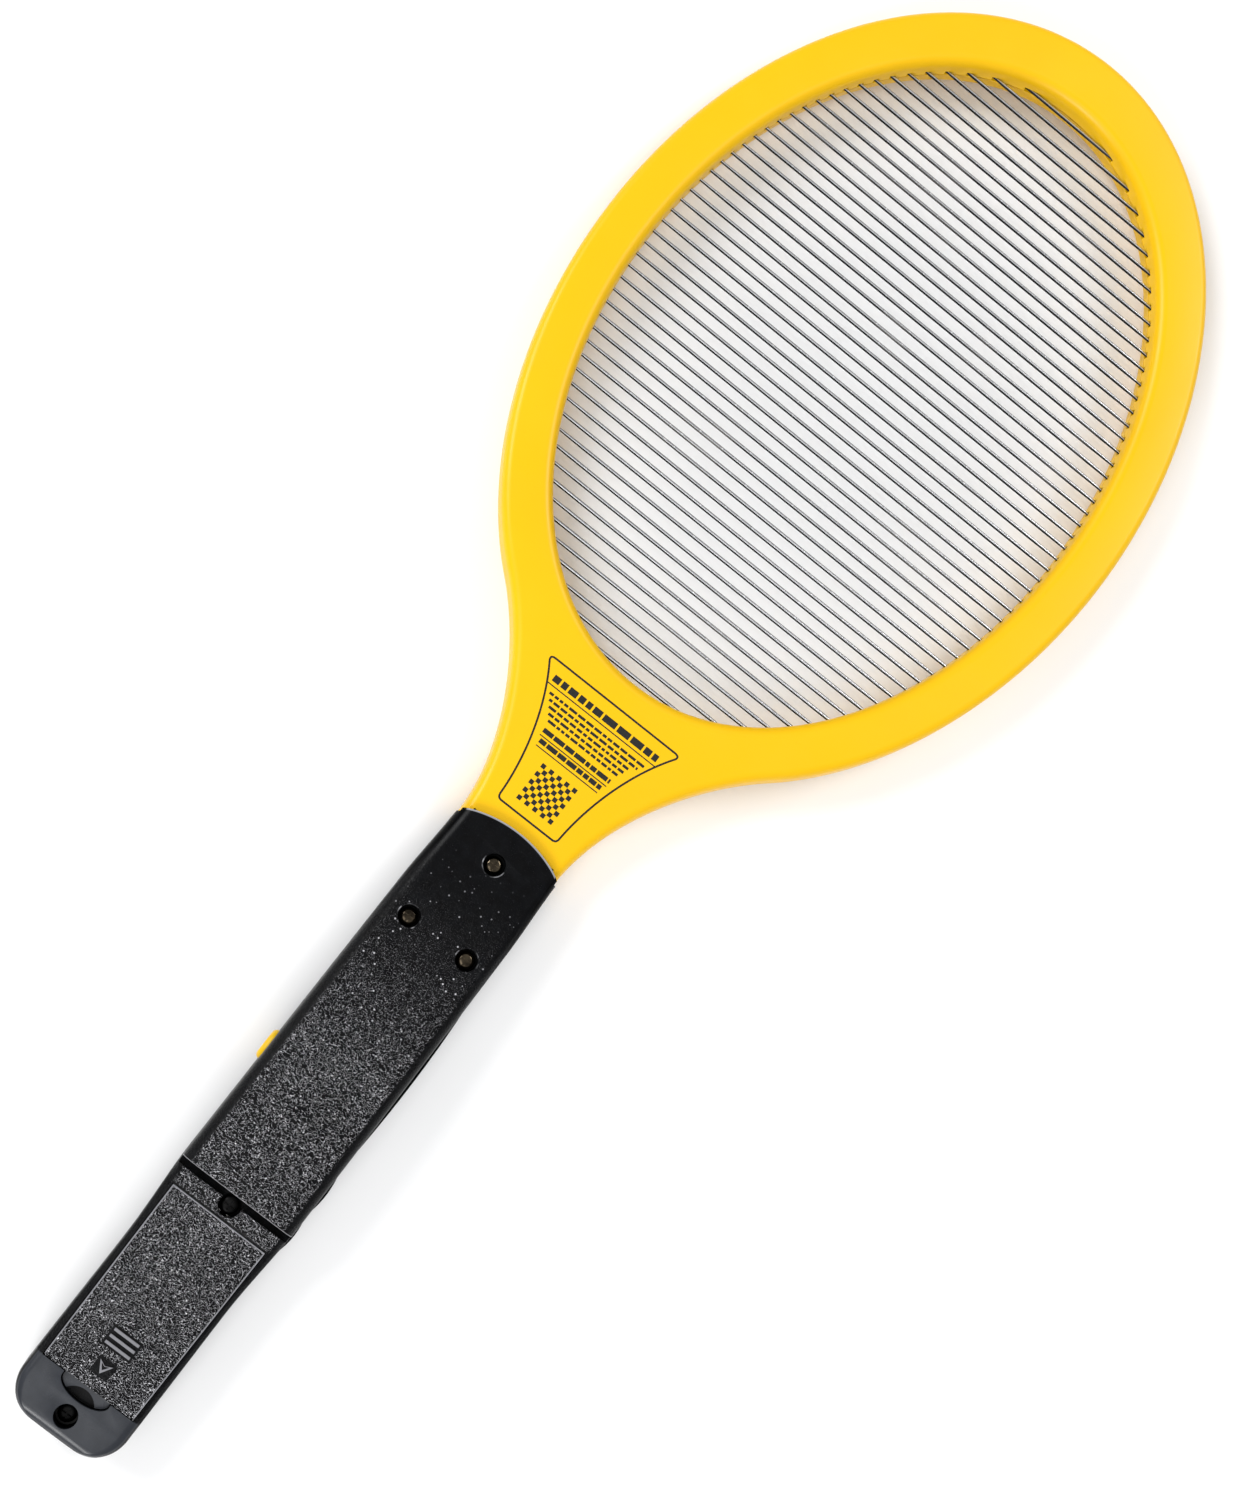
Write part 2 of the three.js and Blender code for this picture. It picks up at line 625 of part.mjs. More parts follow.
// ---- Circuit board and what is soldered to it ----
// A square component leg standing along Z.
function lead(x, y, heights) {
  const half = LEAD_HALF_WIDTH;
  return box([x - half, x + half], [y - half, y + half], heights);
}

function circuitBoard() {
  const plate = box(BOARD_SIDES, BOARD_ENDS, [BOARD_TOP - BOARD_THICKNESS, BOARD_TOP]);
  const fixings = BOARD_FIXINGS.map(([x, y]) => post(1.1, x, y, [-20, 10], 12));
  return cut(plate, fixings);
}

// A ferrite core that closes round the winding on three sides, open towards the board.
function transformerCore() {
  const block = box([-6, 10], [128, 141], [BOARD_TOP + GAP, 8.4]);
  return block.subtract(box([-3, 7], [127, 142], [BOARD_TOP - 1, 5.6]));
}

function transformerWinding() {
  const spool = new THREE.CylinderGeometry(4, 4, 17, 20);
  spool.scale(1.15, 1, 0.95);
  spool.translate(2, 134.5, 1.4);
  return toSolid(spool);
}

function hvCapacitor() {
  const outline = new THREE.Shape();
  outline.absarc(3.4, 0, 2.6, -Math.PI / 2, Math.PI / 2, false);
  outline.absarc(-3.4, 0, 2.6, Math.PI / 2, (3 * Math.PI) / 2, false);
  const geometry = new THREE.ExtrudeGeometry(outline, {
    depth: 7,
    bevelThickness: 0.8,
    bevelSize: 0.8,
    bevelOffset: -0.8,
    bevelSegments: 2,
    curveSegments: 6,
  });
  geometry.translate(5, 150, BOARD_TOP + GAP + 0.8);
  return toSolid(geometry);
}

function transistor() {
  const round = post(2.4, 8, 119, [BOARD_TOP + 2, 3.4]);
  const body = round.subtract(box([4, 12], [120.4, 124], [-10, 10]));
  const legs = [-1.27, 0, 1.27].map((x) => lead(8 + x, 118.85, [BOARD_TOP + GAP, BOARD_TOP + 2.5]));
  return join([body, ...legs]);
}

// A small tube with a bent leg at each end, lying along Y above the board.
function axialPart(radius, length, x, y) {
  const z = BOARD_TOP + GAP + radius + 0.5;
  const body = new THREE.CylinderGeometry(radius, radius, length, 12);
  body.translate(x, y, z);
  const legY = length / 2 + 1.4;
  const half = LEAD_HALF_WIDTH;
  const level = box([x - half, x + half], [y - legY, y + legY], [z - half, z + half]);
  const legs = [-1, 1].map((end) => lead(x, y + end * legY, [BOARD_TOP + GAP, z + half]));
  return join([toSolid(body), level, ...legs]);
}

function ledIndicator() {
  const top = BOARD_TOP - BOARD_THICKNESS - GAP;
  const body = post(LED_RADIUS, LED_X, LED_Y, [-FRONT_DEPTH + 0.2, top - 1.2]);
  const rim = post(LED_RADIUS + 0.5, LED_X, LED_Y, [top - 2, top - 1]);
  const legs = [-0.8, 0.8].map((x) => lead(LED_X + x, LED_Y, [top - 1.5, top]));
  return join([body, rim, ...legs]);
}

// ---- Battery contacts ----
function contactPlate(sides, y) {
  return box(sides, [y - CONTACT_THICKNESS / 2, y + CONTACT_THICKNESS / 2], CONTACT_HEIGHTS);
}

// A cone of spring wire standing on a contact plate, pointing along direction (+1 or -1 in Y).
function contactSpring(x, y, direction) {
  const turns = 3;
  const height = 5.4;
  const points = [];
  const pointsPerTurn = 8;
  for (let step = 0; step <= turns * pointsPerTurn; step += 1) {
    const part = step / (turns * pointsPerTurn);
    const angle = 2 * Math.PI * turns * part;
    const radius = 4.4 - 2.2 * part;
    const z = CELL_AXIS_Z + radius * Math.sin(angle);
    points.push([x + radius * Math.cos(angle), y + direction * height * part, z]);
  }
  return wire(points, 0.35, turns * 10);
}

function contactBridge() {
  const y = BAY_START + GAP + CONTACT_THICKNESS / 2;
  const plate = contactPlate([-13.8, 13.8], y);
  const nub = new THREE.CylinderGeometry(2.4, 2.8, 0.6, 16);
  nub.translate(-CELL_RADIUS, y + CONTACT_THICKNESS, CELL_AXIS_Z);
  return join([plate, toSolid(nub), contactSpring(CELL_RADIUS, y, 1)]);
}

function contactPositive() {
  const y = BAY_END - GAP - CONTACT_THICKNESS / 2;
  const nub = new THREE.CylinderGeometry(2.8, 2.4, 0.6, 16);
  nub.translate(CELL_RADIUS, y - CONTACT_THICKNESS, CELL_AXIS_Z);
  return join([contactPlate([1, 13.8], y), toSolid(nub)]);
}

function contactNegative() {
  const y = BAY_END - GAP - CONTACT_THICKNESS / 2;
  return join([contactPlate([-13.8, -1], y), contactSpring(-CELL_RADIUS, y, -1)]);
}

// ---- Leads ----
function batteryLead(side) {
  const route = [[12, BAY_END + 0.3, -2.2], [12, 78, -2.2], [12, 85, -1.9], [11.4, 92, -1.9], [10.6, 99, -1.9]];
  return wire(route.map(([x, y, z]) => [side * x, y, z]), 0.7, 12);
}

// From the circuit board, past the upper screws, through the hollow neck to the bus strip's end.
function gridLead(side) {
  const route = [[4, 155.6, -1.9], [4, 160, -1], [4.6, 171, 0.4], [6.4, 185, 0.4], [6.6, 198, 0.4], [7.5, 215, 0.6],
    [12, 240, 0.9], [24.4, 265.8, ROD_Z]];
  return wire(route.map(([x, y, z]) => [side * x, y, z]), 0.7, 26);
}

// ---- Screws ----
function caseScrew({ x, y, ledge }) {
  const headBottom = ledge + GAP;
  const headTop = headBottom + SCREW_HEAD_HEIGHT;
  const profile = [
    new THREE.Vector2(0, SCREW_TIP_Z),
    new THREE.Vector2(SCREW_SHANK_RADIUS, SCREW_TIP_Z + 2),
    new THREE.Vector2(SCREW_SHANK_RADIUS, headBottom),
    new THREE.Vector2(SCREW_HEAD_RADIUS, headBottom),
    new THREE.Vector2(SCREW_HEAD_RADIUS - 0.4, headTop - 0.4),
    new THREE.Vector2(SCREW_HEAD_RADIUS - 1.2, headTop),
    new THREE.Vector2(0, headTop),
  ];
  const geometry = new THREE.LatheGeometry(profile, 12);
  geometry.rotateX(Math.PI / 2);
  geometry.translate(x, y, 0);
  const slots = [
    box([x - 1.5, x + 1.5], [y - 0.3, y + 0.3], [headTop - 0.9, headTop + 1]),
    box([x - 0.3, x + 0.3], [y - 1.5, y + 1.5], [headTop - 0.9, headTop + 1]),
  ];
  return cut(toSolid(geometry), [join(slots)]);
}

// ---- Assembly ----
function group(...children) {
  const result = new THREE.Group();
  result.add(...children);
  return result;
}

const head = headSolid();
const headGroup = group(
  toMesh('head_back_frame', head.intersect(BACK_HALF).subtract(rodNotches()), YELLOW_PLASTIC),
  toMesh('head_front_frame', head.intersect(FRONT_HALF), YELLOW_PLASTIC),
  toMesh('grid_positive', gridComb(1, 0), GRID_STEEL),
  toMesh('grid_negative', gridComb(-1, 1), GRID_STEEL),
);

const handleGroup = group(
  toMesh('handle_back_shell', handleBackShell(), BLACK_PLASTIC),
  toMesh('handle_front_shell', handleFrontShell(), BLACK_PLASTIC),
  toMesh('battery_door', batteryDoor(), DOOR_PLASTIC),
  toMesh('power_button', powerButton(), BUTTON_PLASTIC),
  ...CASE_SCREWS.map((screw, index) => toMesh(`case_screw_${index + 1}`, caseScrew(screw), SCREW_STEEL)),
);

const electronicsGroup = group(
  toMesh('switch_plunger', switchPlunger(), BUTTON_PLASTIC),
  toMesh('push_switch', pushSwitch(), SWITCH_GREY),
  toMesh('circuit_board', circuitBoard(), BOARD_GREEN),
  toMesh('transformer_core', transformerCore(), FERRITE),
  toMesh('transformer_winding', transformerWinding(), WINDING_TAPE),
  toMesh('hv_capacitor', hvCapacitor(), CAPACITOR_RED),
  toMesh('transistor', transistor(), COMPONENT_BLACK),
  toMesh('diode_1', axialPart(1.3, 5, -8, 131), COMPONENT_BLACK),
  toMesh('diode_2', axialPart(1.3, 5, -8, 143), COMPONENT_BLACK),
  toMesh('resistor_1', axialPart(1.1, 6, 2, 104), RESISTOR_BEIGE),
  toMesh('resistor_2', axialPart(1.1, 6, 6, 104), RESISTOR_BEIGE),
  toMesh('led_indicator', ledIndicator(), LED_RED),
  toMesh('grid_lead_positive', gridLead(1), WIRE_RED),
  toMesh('grid_lead_negative', gridLead(-1), WIRE_BLACK),
);

const batteryGroup = group(
  toMesh('contact_bridge', contactBridge(), CONTACT_NICKEL),
  toMesh('contact_positive', contactPositive(), CONTACT_NICKEL),
  toMesh('contact_negative', contactNegative(), CONTACT_NICKEL),
  toMesh('battery_lead_positive', batteryLead(1), WIRE_RED),
  toMesh('battery_lead_negative', batteryLead(-1), WIRE_BLACK),
);

const flySwatter = group(headGroup, handleGroup, electronicsGroup, batteryGroup);
flySwatter.position.set(0, -TOTAL_LENGTH / 2, FRONT_DEPTH);

export default flySwatter;
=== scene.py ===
"""Battery fly swatter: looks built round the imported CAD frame. Lengths in design terms are millimetres."""

import math
import random

import bmesh
import bpy
from mathutils import Matrix, Vector


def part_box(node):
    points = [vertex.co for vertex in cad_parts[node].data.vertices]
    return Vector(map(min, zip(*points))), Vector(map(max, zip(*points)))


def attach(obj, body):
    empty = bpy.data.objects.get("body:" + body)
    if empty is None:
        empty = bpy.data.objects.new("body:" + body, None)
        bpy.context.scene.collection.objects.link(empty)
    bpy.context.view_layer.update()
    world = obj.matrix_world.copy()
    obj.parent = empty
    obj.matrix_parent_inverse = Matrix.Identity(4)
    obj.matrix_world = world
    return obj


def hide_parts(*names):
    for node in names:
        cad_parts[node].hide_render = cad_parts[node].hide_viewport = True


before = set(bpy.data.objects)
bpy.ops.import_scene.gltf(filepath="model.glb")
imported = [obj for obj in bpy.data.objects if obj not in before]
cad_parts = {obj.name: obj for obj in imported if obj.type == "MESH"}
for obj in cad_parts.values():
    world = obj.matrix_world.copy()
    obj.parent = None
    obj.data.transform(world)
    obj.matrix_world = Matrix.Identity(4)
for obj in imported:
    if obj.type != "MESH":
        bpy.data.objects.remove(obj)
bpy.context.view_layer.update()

MM = 0.001
GAP = 0.3

# Datum: the handle's butt, and the plane where the front and back shells meet.
BUTT_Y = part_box("handle_front_shell")[0].y
PARTING_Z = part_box("head_back_frame")[0].z - GAP / 2 * MM
TOTAL_LENGTH = (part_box("head_back_frame")[1].y - BUTT_Y) / MM

HEAD_HALF_WIDTH = 98
HEAD_HALF_LENGTH = 140
HEAD_CENTRE_Y = TOTAL_LENGTH - HEAD_HALF_LENGTH
HEAD_HALF_THICKNESS = (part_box("head_back_frame")[1].z - PARTING_Z) / MM
HOLE_HALF_WIDTH = 82
HOLE_HALF_LENGTH = 120.5
HOLE_CENTRE_Y = 388.5
NECK_HALF_WIDTH = 18
NECK_JOIN_ANGLE = 31
SHOULDER_Y = 204.7

ROD_COUNT = 52
ROD_PITCH = 4.64
ROD_RADIUS = 0.6
ROD_Z = 0.95
ROD_SIDES = 16
ROD_SWAY = 0.22
BUS_OFFSET = 6
BUS_HALF_WIDTH = 1.3
BUS_HALF_THICKNESS = 0.45

HANDLE_LENGTH = 205
BUTT_RADIUS = 10.5
BATTERY_HALF_WIDTH = 17.8
GRIP_HALF_WIDTH = 19.2
BATTERY_BACK_HEIGHT = 9.5
GRIP_BACK_HEIGHT = 14.5
JUNCTION_HEIGHT = 9.3
FRONT_DEPTH = 10.5
STEP_Y = 80
STEP_GROOVE_WIDTH = 2.2
STEP_GROOVE_FLOOR = 9
RAMP_RISE = 1.5
COLLAR_ARCH = 5
WALL = 2
ARCH_RADIUS = (GRIP_HALF_WIDTH ** 2 + COLLAR_ARCH ** 2) / (2 * COLLAR_ARCH)
ARCH_CENTRE_Y = HANDLE_LENGTH + COLLAR_ARCH - ARCH_RADIUS

DOOR_START = 16.1
DOOR_END = 72.2
DOOR_HALF_WIDTH_START = 15.3
DOOR_HALF_WIDTH_END = 16.1
DOOR_THICKNESS = 1.8
DOOR_TABS_X = (-6, 6)
LATCH_FLOOR = 6.2

BUTTON_Y = 118
BUTTON_HALF_LENGTH = 5
BUTTON_HALF_HEIGHT = 3.6
BUTTON_CROWN = 1.6
BUTTON_FACE_X = -20.6
BUTTON_BACK_X = -15.8
FLANGE_MARGIN = 1.4
FLANGE_THICKNESS = 1

LATCH_HALF_WIDTH = 8
LATCH_BOW = 3.6
LATCH_CHORD_Y = DOOR_START - 1.2
TAB_HALF_WIDTH = 2
RIDGE_START = 28
RIDGE_PITCH = 2
RIDGE_WIDTH = 0.8
RIDGE_HALF_LENGTH = 4.2
RIDGE_RISE = 0.5
ARROW = [(0, 20.6), (2.2, 24), (0, 23), (-2.2, 24)]
ARROW_HOLLOW = [(0, 21.7), (1.3, 23.4), (0, 22.85), (-1.3, 23.4)]
ARROW_RISE = 0.28

BAY_HALF_WIDTH = 14.7
BAY_RUN = (15.6, 74.2)
BAY_DEPTH = 8.5
TANG_HALF_WIDTH = 15.6
TANG_START = 163
TANG_HEIGHT = 4.5
LAMP_X, LAMP_Y, LAMP_HOLE_RADIUS = 3, 146, 1.8

LABEL_START = 214.3
LABEL_LENGTH = 44.4
LABEL_SHIFT = -0.5
LABEL_LINE = 0.62
INK_SUNK = 0.01
INK_RISE = 0.02

# Finger grips on the +X side: where each begins and ends, and how far it swells.
FINGER_GRIPS = [(73, 86.5, 1.2), (86.5, 102, 1.4), (102, 163, 1.5)]

# Case screws by number: x, y and the height of the ledge under the head.
SCREWS = {1: (0, 198, 6.2), 2: (-10.5, 171, 7), 3: (10.5, 171, 7), 4: (0, 76.8, 6.8), 5: (0, 6.5, 3)}
NECK_SCREWS = (1, 2, 3)
SCREW_RECESS_RADIUS = 3.4
SCREW_HOLE_RADIUS = 1.55
SCREW_POST_RADIUS = 4.6
SCREW_POST_BASE = 4.8
SCREW_HEAD_RADIUS = 2.7

# How far cutting shapes run past what they cut.
CLEAR = 30

# Grain of the black plastic, with painted glints on its crests. Everything below the recess tops, counted
# from the parting plane, is plain and painted darker as shade.
WRINKLE_SCALE = 1320
WRINKLE_SHARPNESS = 9.0
WRINKLE_WOBBLE = 0.8
CREST_SHARE = 0.095
CREST_SOFTNESS = 0.05
SPECK_SCALE = 620
DOOR_RECESS_TOP = 7.4
SHELL_RECESS_TOP = 8.2


def along_y(y):
    """A distance from the butt in design millimetres, as a Blender Y."""
    return BUTT_Y + y * MM


def height_z(z):
    """A height above the parting plane in design millimetres, as a Blender Z."""
    return PARTING_Z + z * MM


def at(x, y, z):
    """A point given in design millimetres, as a Blender location."""
    return Vector((x * MM, along_y(y), height_z(z)))


# ---------------------------------------------------------------- mesh helpers
def make_object(name, bm, smooth_angle=35):
    mesh = bpy.data.meshes.new(name)
    bmesh.ops.recalc_face_normals(bm, faces=bm.faces)
    bm.to_mesh(mesh)
    bm.free()
    obj = bpy.data.objects.new(name, mesh)
    bpy.context.scene.collection.objects.link(obj)
    shade(obj, smooth_angle)
    return obj


def shade(obj, smooth_angle=35):
    mesh = obj.data
    mesh.polygons.foreach_set("use_smooth", [True] * len(mesh.polygons))
    mesh.set_sharp_from_angle(angle=math.radians(smooth_angle))


def add_loop(bm, points):
    return [bm.verts.new(point) for point in points]


def bridge(bm, lower, upper):
    count = len(lower)
    for i in range(count):
        j = (i + 1) % count
        bm.faces.new((lower[i], lower[j], upper[j], upper[i]))


def skin(bm, rings):
    for lower, upper in zip(rings, rings[1:]):
        bridge(bm, lower, upper)


def loft(bm, sections):
    """Skins closed rings of points and caps both ends."""
    rings = [add_loop(bm, section) for section in sections]
    skin(bm, rings)
    bm.faces.new(rings[0])
    bm.faces.new(list(reversed(rings[-1])))


def add_box(bm, xs, ys, zs):
    corners = [bm.verts.new(at(x, y, z)) for z in zs for y in ys for x in xs]
    quads = ((0, 2, 3, 1), (4, 5, 7, 6), (0, 1, 5, 4), (2, 6, 7, 3), (0, 4, 6, 2), (1, 3, 7, 5))
    for quad in quads:
        bm.faces.new([corners[i] for i in quad])


def add_prism(bm, outline, zs):
    loft(bm, [[at(x, y, z) for x, y in outline] for z in zs])


def box_shape(xs, ys, zs):
    bm = bmesh.new()
    add_box(bm, xs, ys, zs)
    return bm


def prism_shape(outline, zs):
    bm = bmesh.new()
    add_prism(bm, outline, zs)
    return bm


def circle(x, y, radius, count=40):
    steps = [2 * math.pi * i / count for i in range(count)]
    return [(x + radius * math.cos(angle), y + radius * math.sin(angle)) for angle in steps]


def apply_modifiers(obj):
    graph = bpy.context.evaluated_depsgraph_get()
    mesh = bpy.data.meshes.new_from_object(obj.evaluated_get(graph))
    obj.modifiers.clear()
    obj.data = mesh


def carve(obj, bm, operation="DIFFERENCE"):
    """Cuts the shape in bm out of obj, or joins it on."""
    cutter = make_object(obj.name + "_cutter", bm)
    modifier = obj.modifiers.new("carve", "BOOLEAN")
    modifier.object = cutter
    modifier.operation = operation
    modifier.solver = "EXACT"
    apply_modifiers(obj)
    bpy.data.objects.remove(cutter, do_unlink=True)


def round_edges(obj, width, angle=40, segments=2):
    """Breaks every sharp edge with a small radius, as a mould does."""
    modifier = obj.modifiers.new("edges", "BEVEL")
    modifier.width = width * MM
    modifier.segments = segments
    modifier.limit_method = "ANGLE"
    modifier.angle_limit = math.radians(angle)
    modifier.use_clamp_overlap = True
    modifier.harden_normals = False
    apply_modifiers(obj)
    shade(obj)


def settle(obj, body, nodes, look):
    """Gives a piece its body, the CAD nodes that it stands for, and its material."""
    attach(obj, body)
    if nodes:
        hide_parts(*nodes)
    obj.data.materials.clear()
    obj.data.materials.append(look)


# ---------------------------------------------------------------- material helpers
class Look:
    """A Principled material and short ways to add nodes to it."""

    def __init__(self, name, **sockets):
        self.material = bpy.data.materials.new(name)
        self.material.use_nodes = True
        self.tree = self.material.node_tree
        self.shader = self.tree.nodes["Principled BSDF"]
        for socket, value in sockets.items():
            self.shader.inputs[socket.replace("_", " ")].default_value = value
        place = self.tree.nodes.new("ShaderNodeTexCoord")
        self.coords = place.outputs["Object"]
        self.facing = place.outputs["Normal"]

    def node(self, kind, inputs=None, **settings):
        made = self.tree.nodes.new(kind)
        for key, value in settings.items():
            setattr(made, key, value)
        for key, value in (inputs or {}).items():
            if isinstance(value, bpy.types.NodeSocket):
                self.tree.links.new(value, made.inputs[key])
            else:
                made.inputs[key].default_value = value
        return made

    def stretched(self, scale):
        return self.node("ShaderNodeMapping", {"Vector": self.coords, "Scale": scale}).outputs["Vector"]

    def noise(self, scale, detail=3.0, roughness=0.5, vector=None):
        inputs = {"Vector": vector or self.coords, "Scale": scale, "Detail": detail, "Roughness": roughness}
        return self.node("ShaderNodeTexNoise", inputs).outputs["Fac"]

    def cells(self, scale, output):
        return self.node("ShaderNodeTexVoronoi", {"Vector": self.coords, "Scale": scale}).outputs[output]

    def ramp(self, factor, stops, interpolation="LINEAR"):
        made = self.node("ShaderNodeValToRGB", {"Fac": factor})
        elements = made.color_ramp.elements
        made.color_ramp.interpolation = interpolation
        while len(elements) < len(stops):
            elements.new(0.5)
        for element, (position, colour) in zip(elements, stops):
            element.position = position
            element.color = (*colour, 1) if isinstance(colour, tuple) else (colour, colour, colour, 1)
        return made.outputs["Color"]

    def maths(self, operation, first, second=0.0, clamp=False):
        made = self.node("ShaderNodeMath", {0: first, 1: second}, operation=operation, use_clamp=clamp)
        return made.outputs["Value"]

    def vectors(self, operation, first, second):
        return self.node("ShaderNodeVectorMath", {0: first, 1: second}, operation=operation).outputs["Vector"]

    def product(self, first, *others):
        for other in others:
            first = self.maths("MULTIPLY", first, other)
        return first

    def rest_of(self, part):
        """1 where a mask is 0, and the other way round."""
        return self.maths("SUBTRACT", 1.0, part)

    def spread(self, factor, low, high):
        inputs = {"Value": factor, "To Min": low, "To Max": high}
        return self.node("ShaderNodeMapRange", inputs).outputs["Result"]

    def between(self, value, start, end):
        """0 up to start, 1 past end; start may be the larger of the two."""
        inputs = {"Value": value, "From Min": start, "From Max": end}
        return self.node("ShaderNodeMapRange", inputs, interpolation_type="SMOOTHSTEP").outputs["Result"]

    def axis(self, name, vector=None):
        return self.node("ShaderNodeSeparateXYZ", {"Vector": vector or self.coords}).outputs[name]

    def blend(self, factor, first, second):
        """The first colour where factor is 0, the second where it is 1."""
        made = self.node("ShaderNodeMix", data_type="RGBA")
        for socket, value in ((made.inputs[0], factor), (made.inputs[6], first), (made.inputs[7], second)):
            if isinstance(value, bpy.types.NodeSocket):
                self.tree.links.new(value, socket)
            elif isinstance(value, tuple):
                socket.default_value = (*value, 1)
            else:
                socket.default_value = value
        return made.outputs[2]

    def bump(self, height, strength, distance, normal=None):
        inputs = {"Height": height, "Strength": strength, "Distance": distance * MM}
        if normal:
            inputs["Normal"] = normal
        return self.node("ShaderNodeBump", inputs).outputs["Normal"]

    def drive(self, socket, value):
        self.tree.links.new(value, self.shader.inputs[socket])

    def finish(self, colour, roughness, normal):
        self.drive("Base Color", colour)
        self.drive("Roughness", roughness)
        self.drive("Normal", normal)
        return self.material


# ---------------------------------------------------------------- materials
def yellow_plastic(name, base=(0.86, 0.50, 0.002), shade_colour=(0.83, 0.475, 0.002)):
    """Satin ABS: faint flow marks, orange-peel surface and a few hair scratches."""
    look = Look(name, Specular_IOR_Level=0.26)
    flow = look.noise(28, 2)
    colour = look.blend(look.ramp(flow, [(0.3, 0.0), (0.75, 1.0)]), base, shade_colour)
    specks = look.ramp(look.noise(900, 1), [(0.66, 0.0), (0.74, 1.0)])
    colour = look.blend(look.product(specks, 0.12), colour, (0.72, 0.40, 0.01))
    scratch = look.noise(160, 1, vector=look.stretched((1, 14, 1)))
    scuffs = look.ramp(scratch, [(0.60, 0.0), (0.66, 1.0), (0.70, 0.0)])
    wear_and_painted_highlight = look.maths("ADD", look.noise(70, 4), look.product(scuffs, 0.5))
    roughness = look.spread(wear_and_painted_highlight, 0.26, 0.42)
    peel = look.bump(look.noise(620, 2), 0.08, 0.05)
    marks = look.bump(scuffs, 0.04, 0.02, peel)
    return look.finish(colour, roughness, marks)


def wrinkle_lines(look):
    """Thin winding lines, a little longer across the handle than along it, in 0..1."""
    wobble = look.node("ShaderNodeTexNoise", {"Vector": look.coords, "Scale": 700.0, "Detail": 1.0})
    inputs = {0: wobble.outputs["Color"], "Scale": WRINKLE_WOBBLE * MM}
    offset = look.node("ShaderNodeVectorMath", inputs, operation="SCALE").outputs["Vector"]
    inputs = {"Vector": look.vectors("ADD", look.coords, offset), "Scale": (0.75, 1.25, 1.0)}
    stretched = look.node("ShaderNodeMapping", inputs).outputs["Vector"]
    waves = look.noise(WRINKLE_SCALE, 1.5, 0.5, stretched)
    away = look.maths("ABSOLUTE", look.maths("SUBTRACT", waves, 0.5))
    return look.maths("SUBTRACT", 1.0, look.maths("MULTIPLY", away, WRINKLE_SHARPNESS), clamp=True)


def band(look, value, low, high, soft=0.06 * MM):
    """1 while a value lies between two limits, 0 outside."""
    rise = look.between(value, low - soft, low + soft)
    fall = look.between(value, high + soft, high - soft)
    return look.product(rise, fall)


def past_door_edge(look, across, along):
    """How far, in millimetres, a point lies outside the door's sides and hinge end; negative on the door."""
    slope = (DOOR_HALF_WIDTH_END - DOOR_HALF_WIDTH_START) / (DOOR_END - DOOR_START)
    from_start = look.maths("SUBTRACT", along, along_y(DOOR_START))
    half = look.maths("ADD", look.maths("MULTIPLY", from_start, slope), DOOR_HALF_WIDTH_START * MM)
    side = look.maths("SUBTRACT", look.maths("ABSOLUTE", across), half)
    end = look.maths("SUBTRACT", along, along_y(DOOR_END))
    return look.maths("DIVIDE", look.maths("MAXIMUM", side, end), MM)


def reach_from(look, x, y):
    """Distance across the back from an upright axis, whose place is given in design millimetres."""
    flat = look.vectors("MULTIPLY", look.vectors("SUBTRACT", look.coords, at(x, y, 0)), (1, 1, 0))
    return look.node("ShaderNodeVectorMath", {0: flat}, operation="LENGTH").outputs["Value"]


def around(look, across, along, half_width, start, end):
    """1 inside a rectangle centred on the door's middle line."""
    return look.product(band(look, along, along_y(start), along_y(end)),
                        band(look, across, -half_width * MM, half_width * MM))


def crest_mask(look, lines, amount):
    """The tops of the wrinkles, where pale glints are painted; more of them show as amount grows."""
    start = look.maths("SUBTRACT", 0.99, look.maths("MULTIPLY", amount, CREST_SHARE))
    inputs = {"Value": lines, "From Min": start, "From Max": look.maths("ADD", start, CREST_SOFTNESS)}
    return look.node("ShaderNodeMapRange", inputs, interpolation_type="SMOOTHSTEP").outputs["Result"]


def scattered_glint_specks(look, along):
    """Single pale dots, painted as glints, on the stretch of the grip where the grain thins out."""
    dots = look.between(look.cells(SPECK_SCALE, "Distance"), 0.20, 0.12)
    picked = look.between(look.axis("X", look.cells(SPECK_SCALE, "Color")), 0.60, 0.62)
    stretch = look.product(look.between(along, along_y(200), along_y(160)),
                           look.between(along, along_y(118), along_y(150)))
    return look.product(picked, stretch, dots)


def door_painted_highlights(look, beyond, along, height):
    """Painted highlights on the tops of the ridges and the arrow, and along the door's outer edge."""
    raised = look.between(height, height_z(BATTERY_BACK_HEIGHT + 0.12), height_z(BATTERY_BACK_HEIGHT + 0.24))
    edge = look.product(band(look, beyond, -0.36, 0.2, 0.05),
                        look.between(along, along_y(DOOR_START), along_y(DOOR_START + 1)))
    return look.maths("ADD", raised, edge, clamp=True)


def shell_painted_highlights(look, along):
    """Painted highlights on the lip of the step, the collar edge, and parts of the rims round the screws by
    the neck.
    """
    lip = band(look, along, along_y(STEP_Y), along_y(STEP_Y + 0.42))
    reach = reach_from(look, 0, ARCH_CENTRE_Y)
    collar = look.product(look.between(reach, (ARCH_RADIUS - 0.6) * MM, (ARCH_RADIUS - 0.35) * MM),
                          look.between(along, along_y(190), along_y(191)))
    edges = look.maths("ADD", lip, collar, clamp=True)
    partly = look.between(look.noise(420, 1), 0.50, 0.78)
    rim_start, rim_end = (SCREW_RECESS_RADIUS + 0.02) * MM, (SCREW_RECESS_RADIUS + 0.35) * MM
    for number in NECK_SCREWS:
        x, y, _ = SCREWS[number]
        rim = band(look, reach_from(look, x, y), rim_start, rim_end)
        edges = look.maths("ADD", edges, look.product(rim, partly), clamp=True)
    return edges


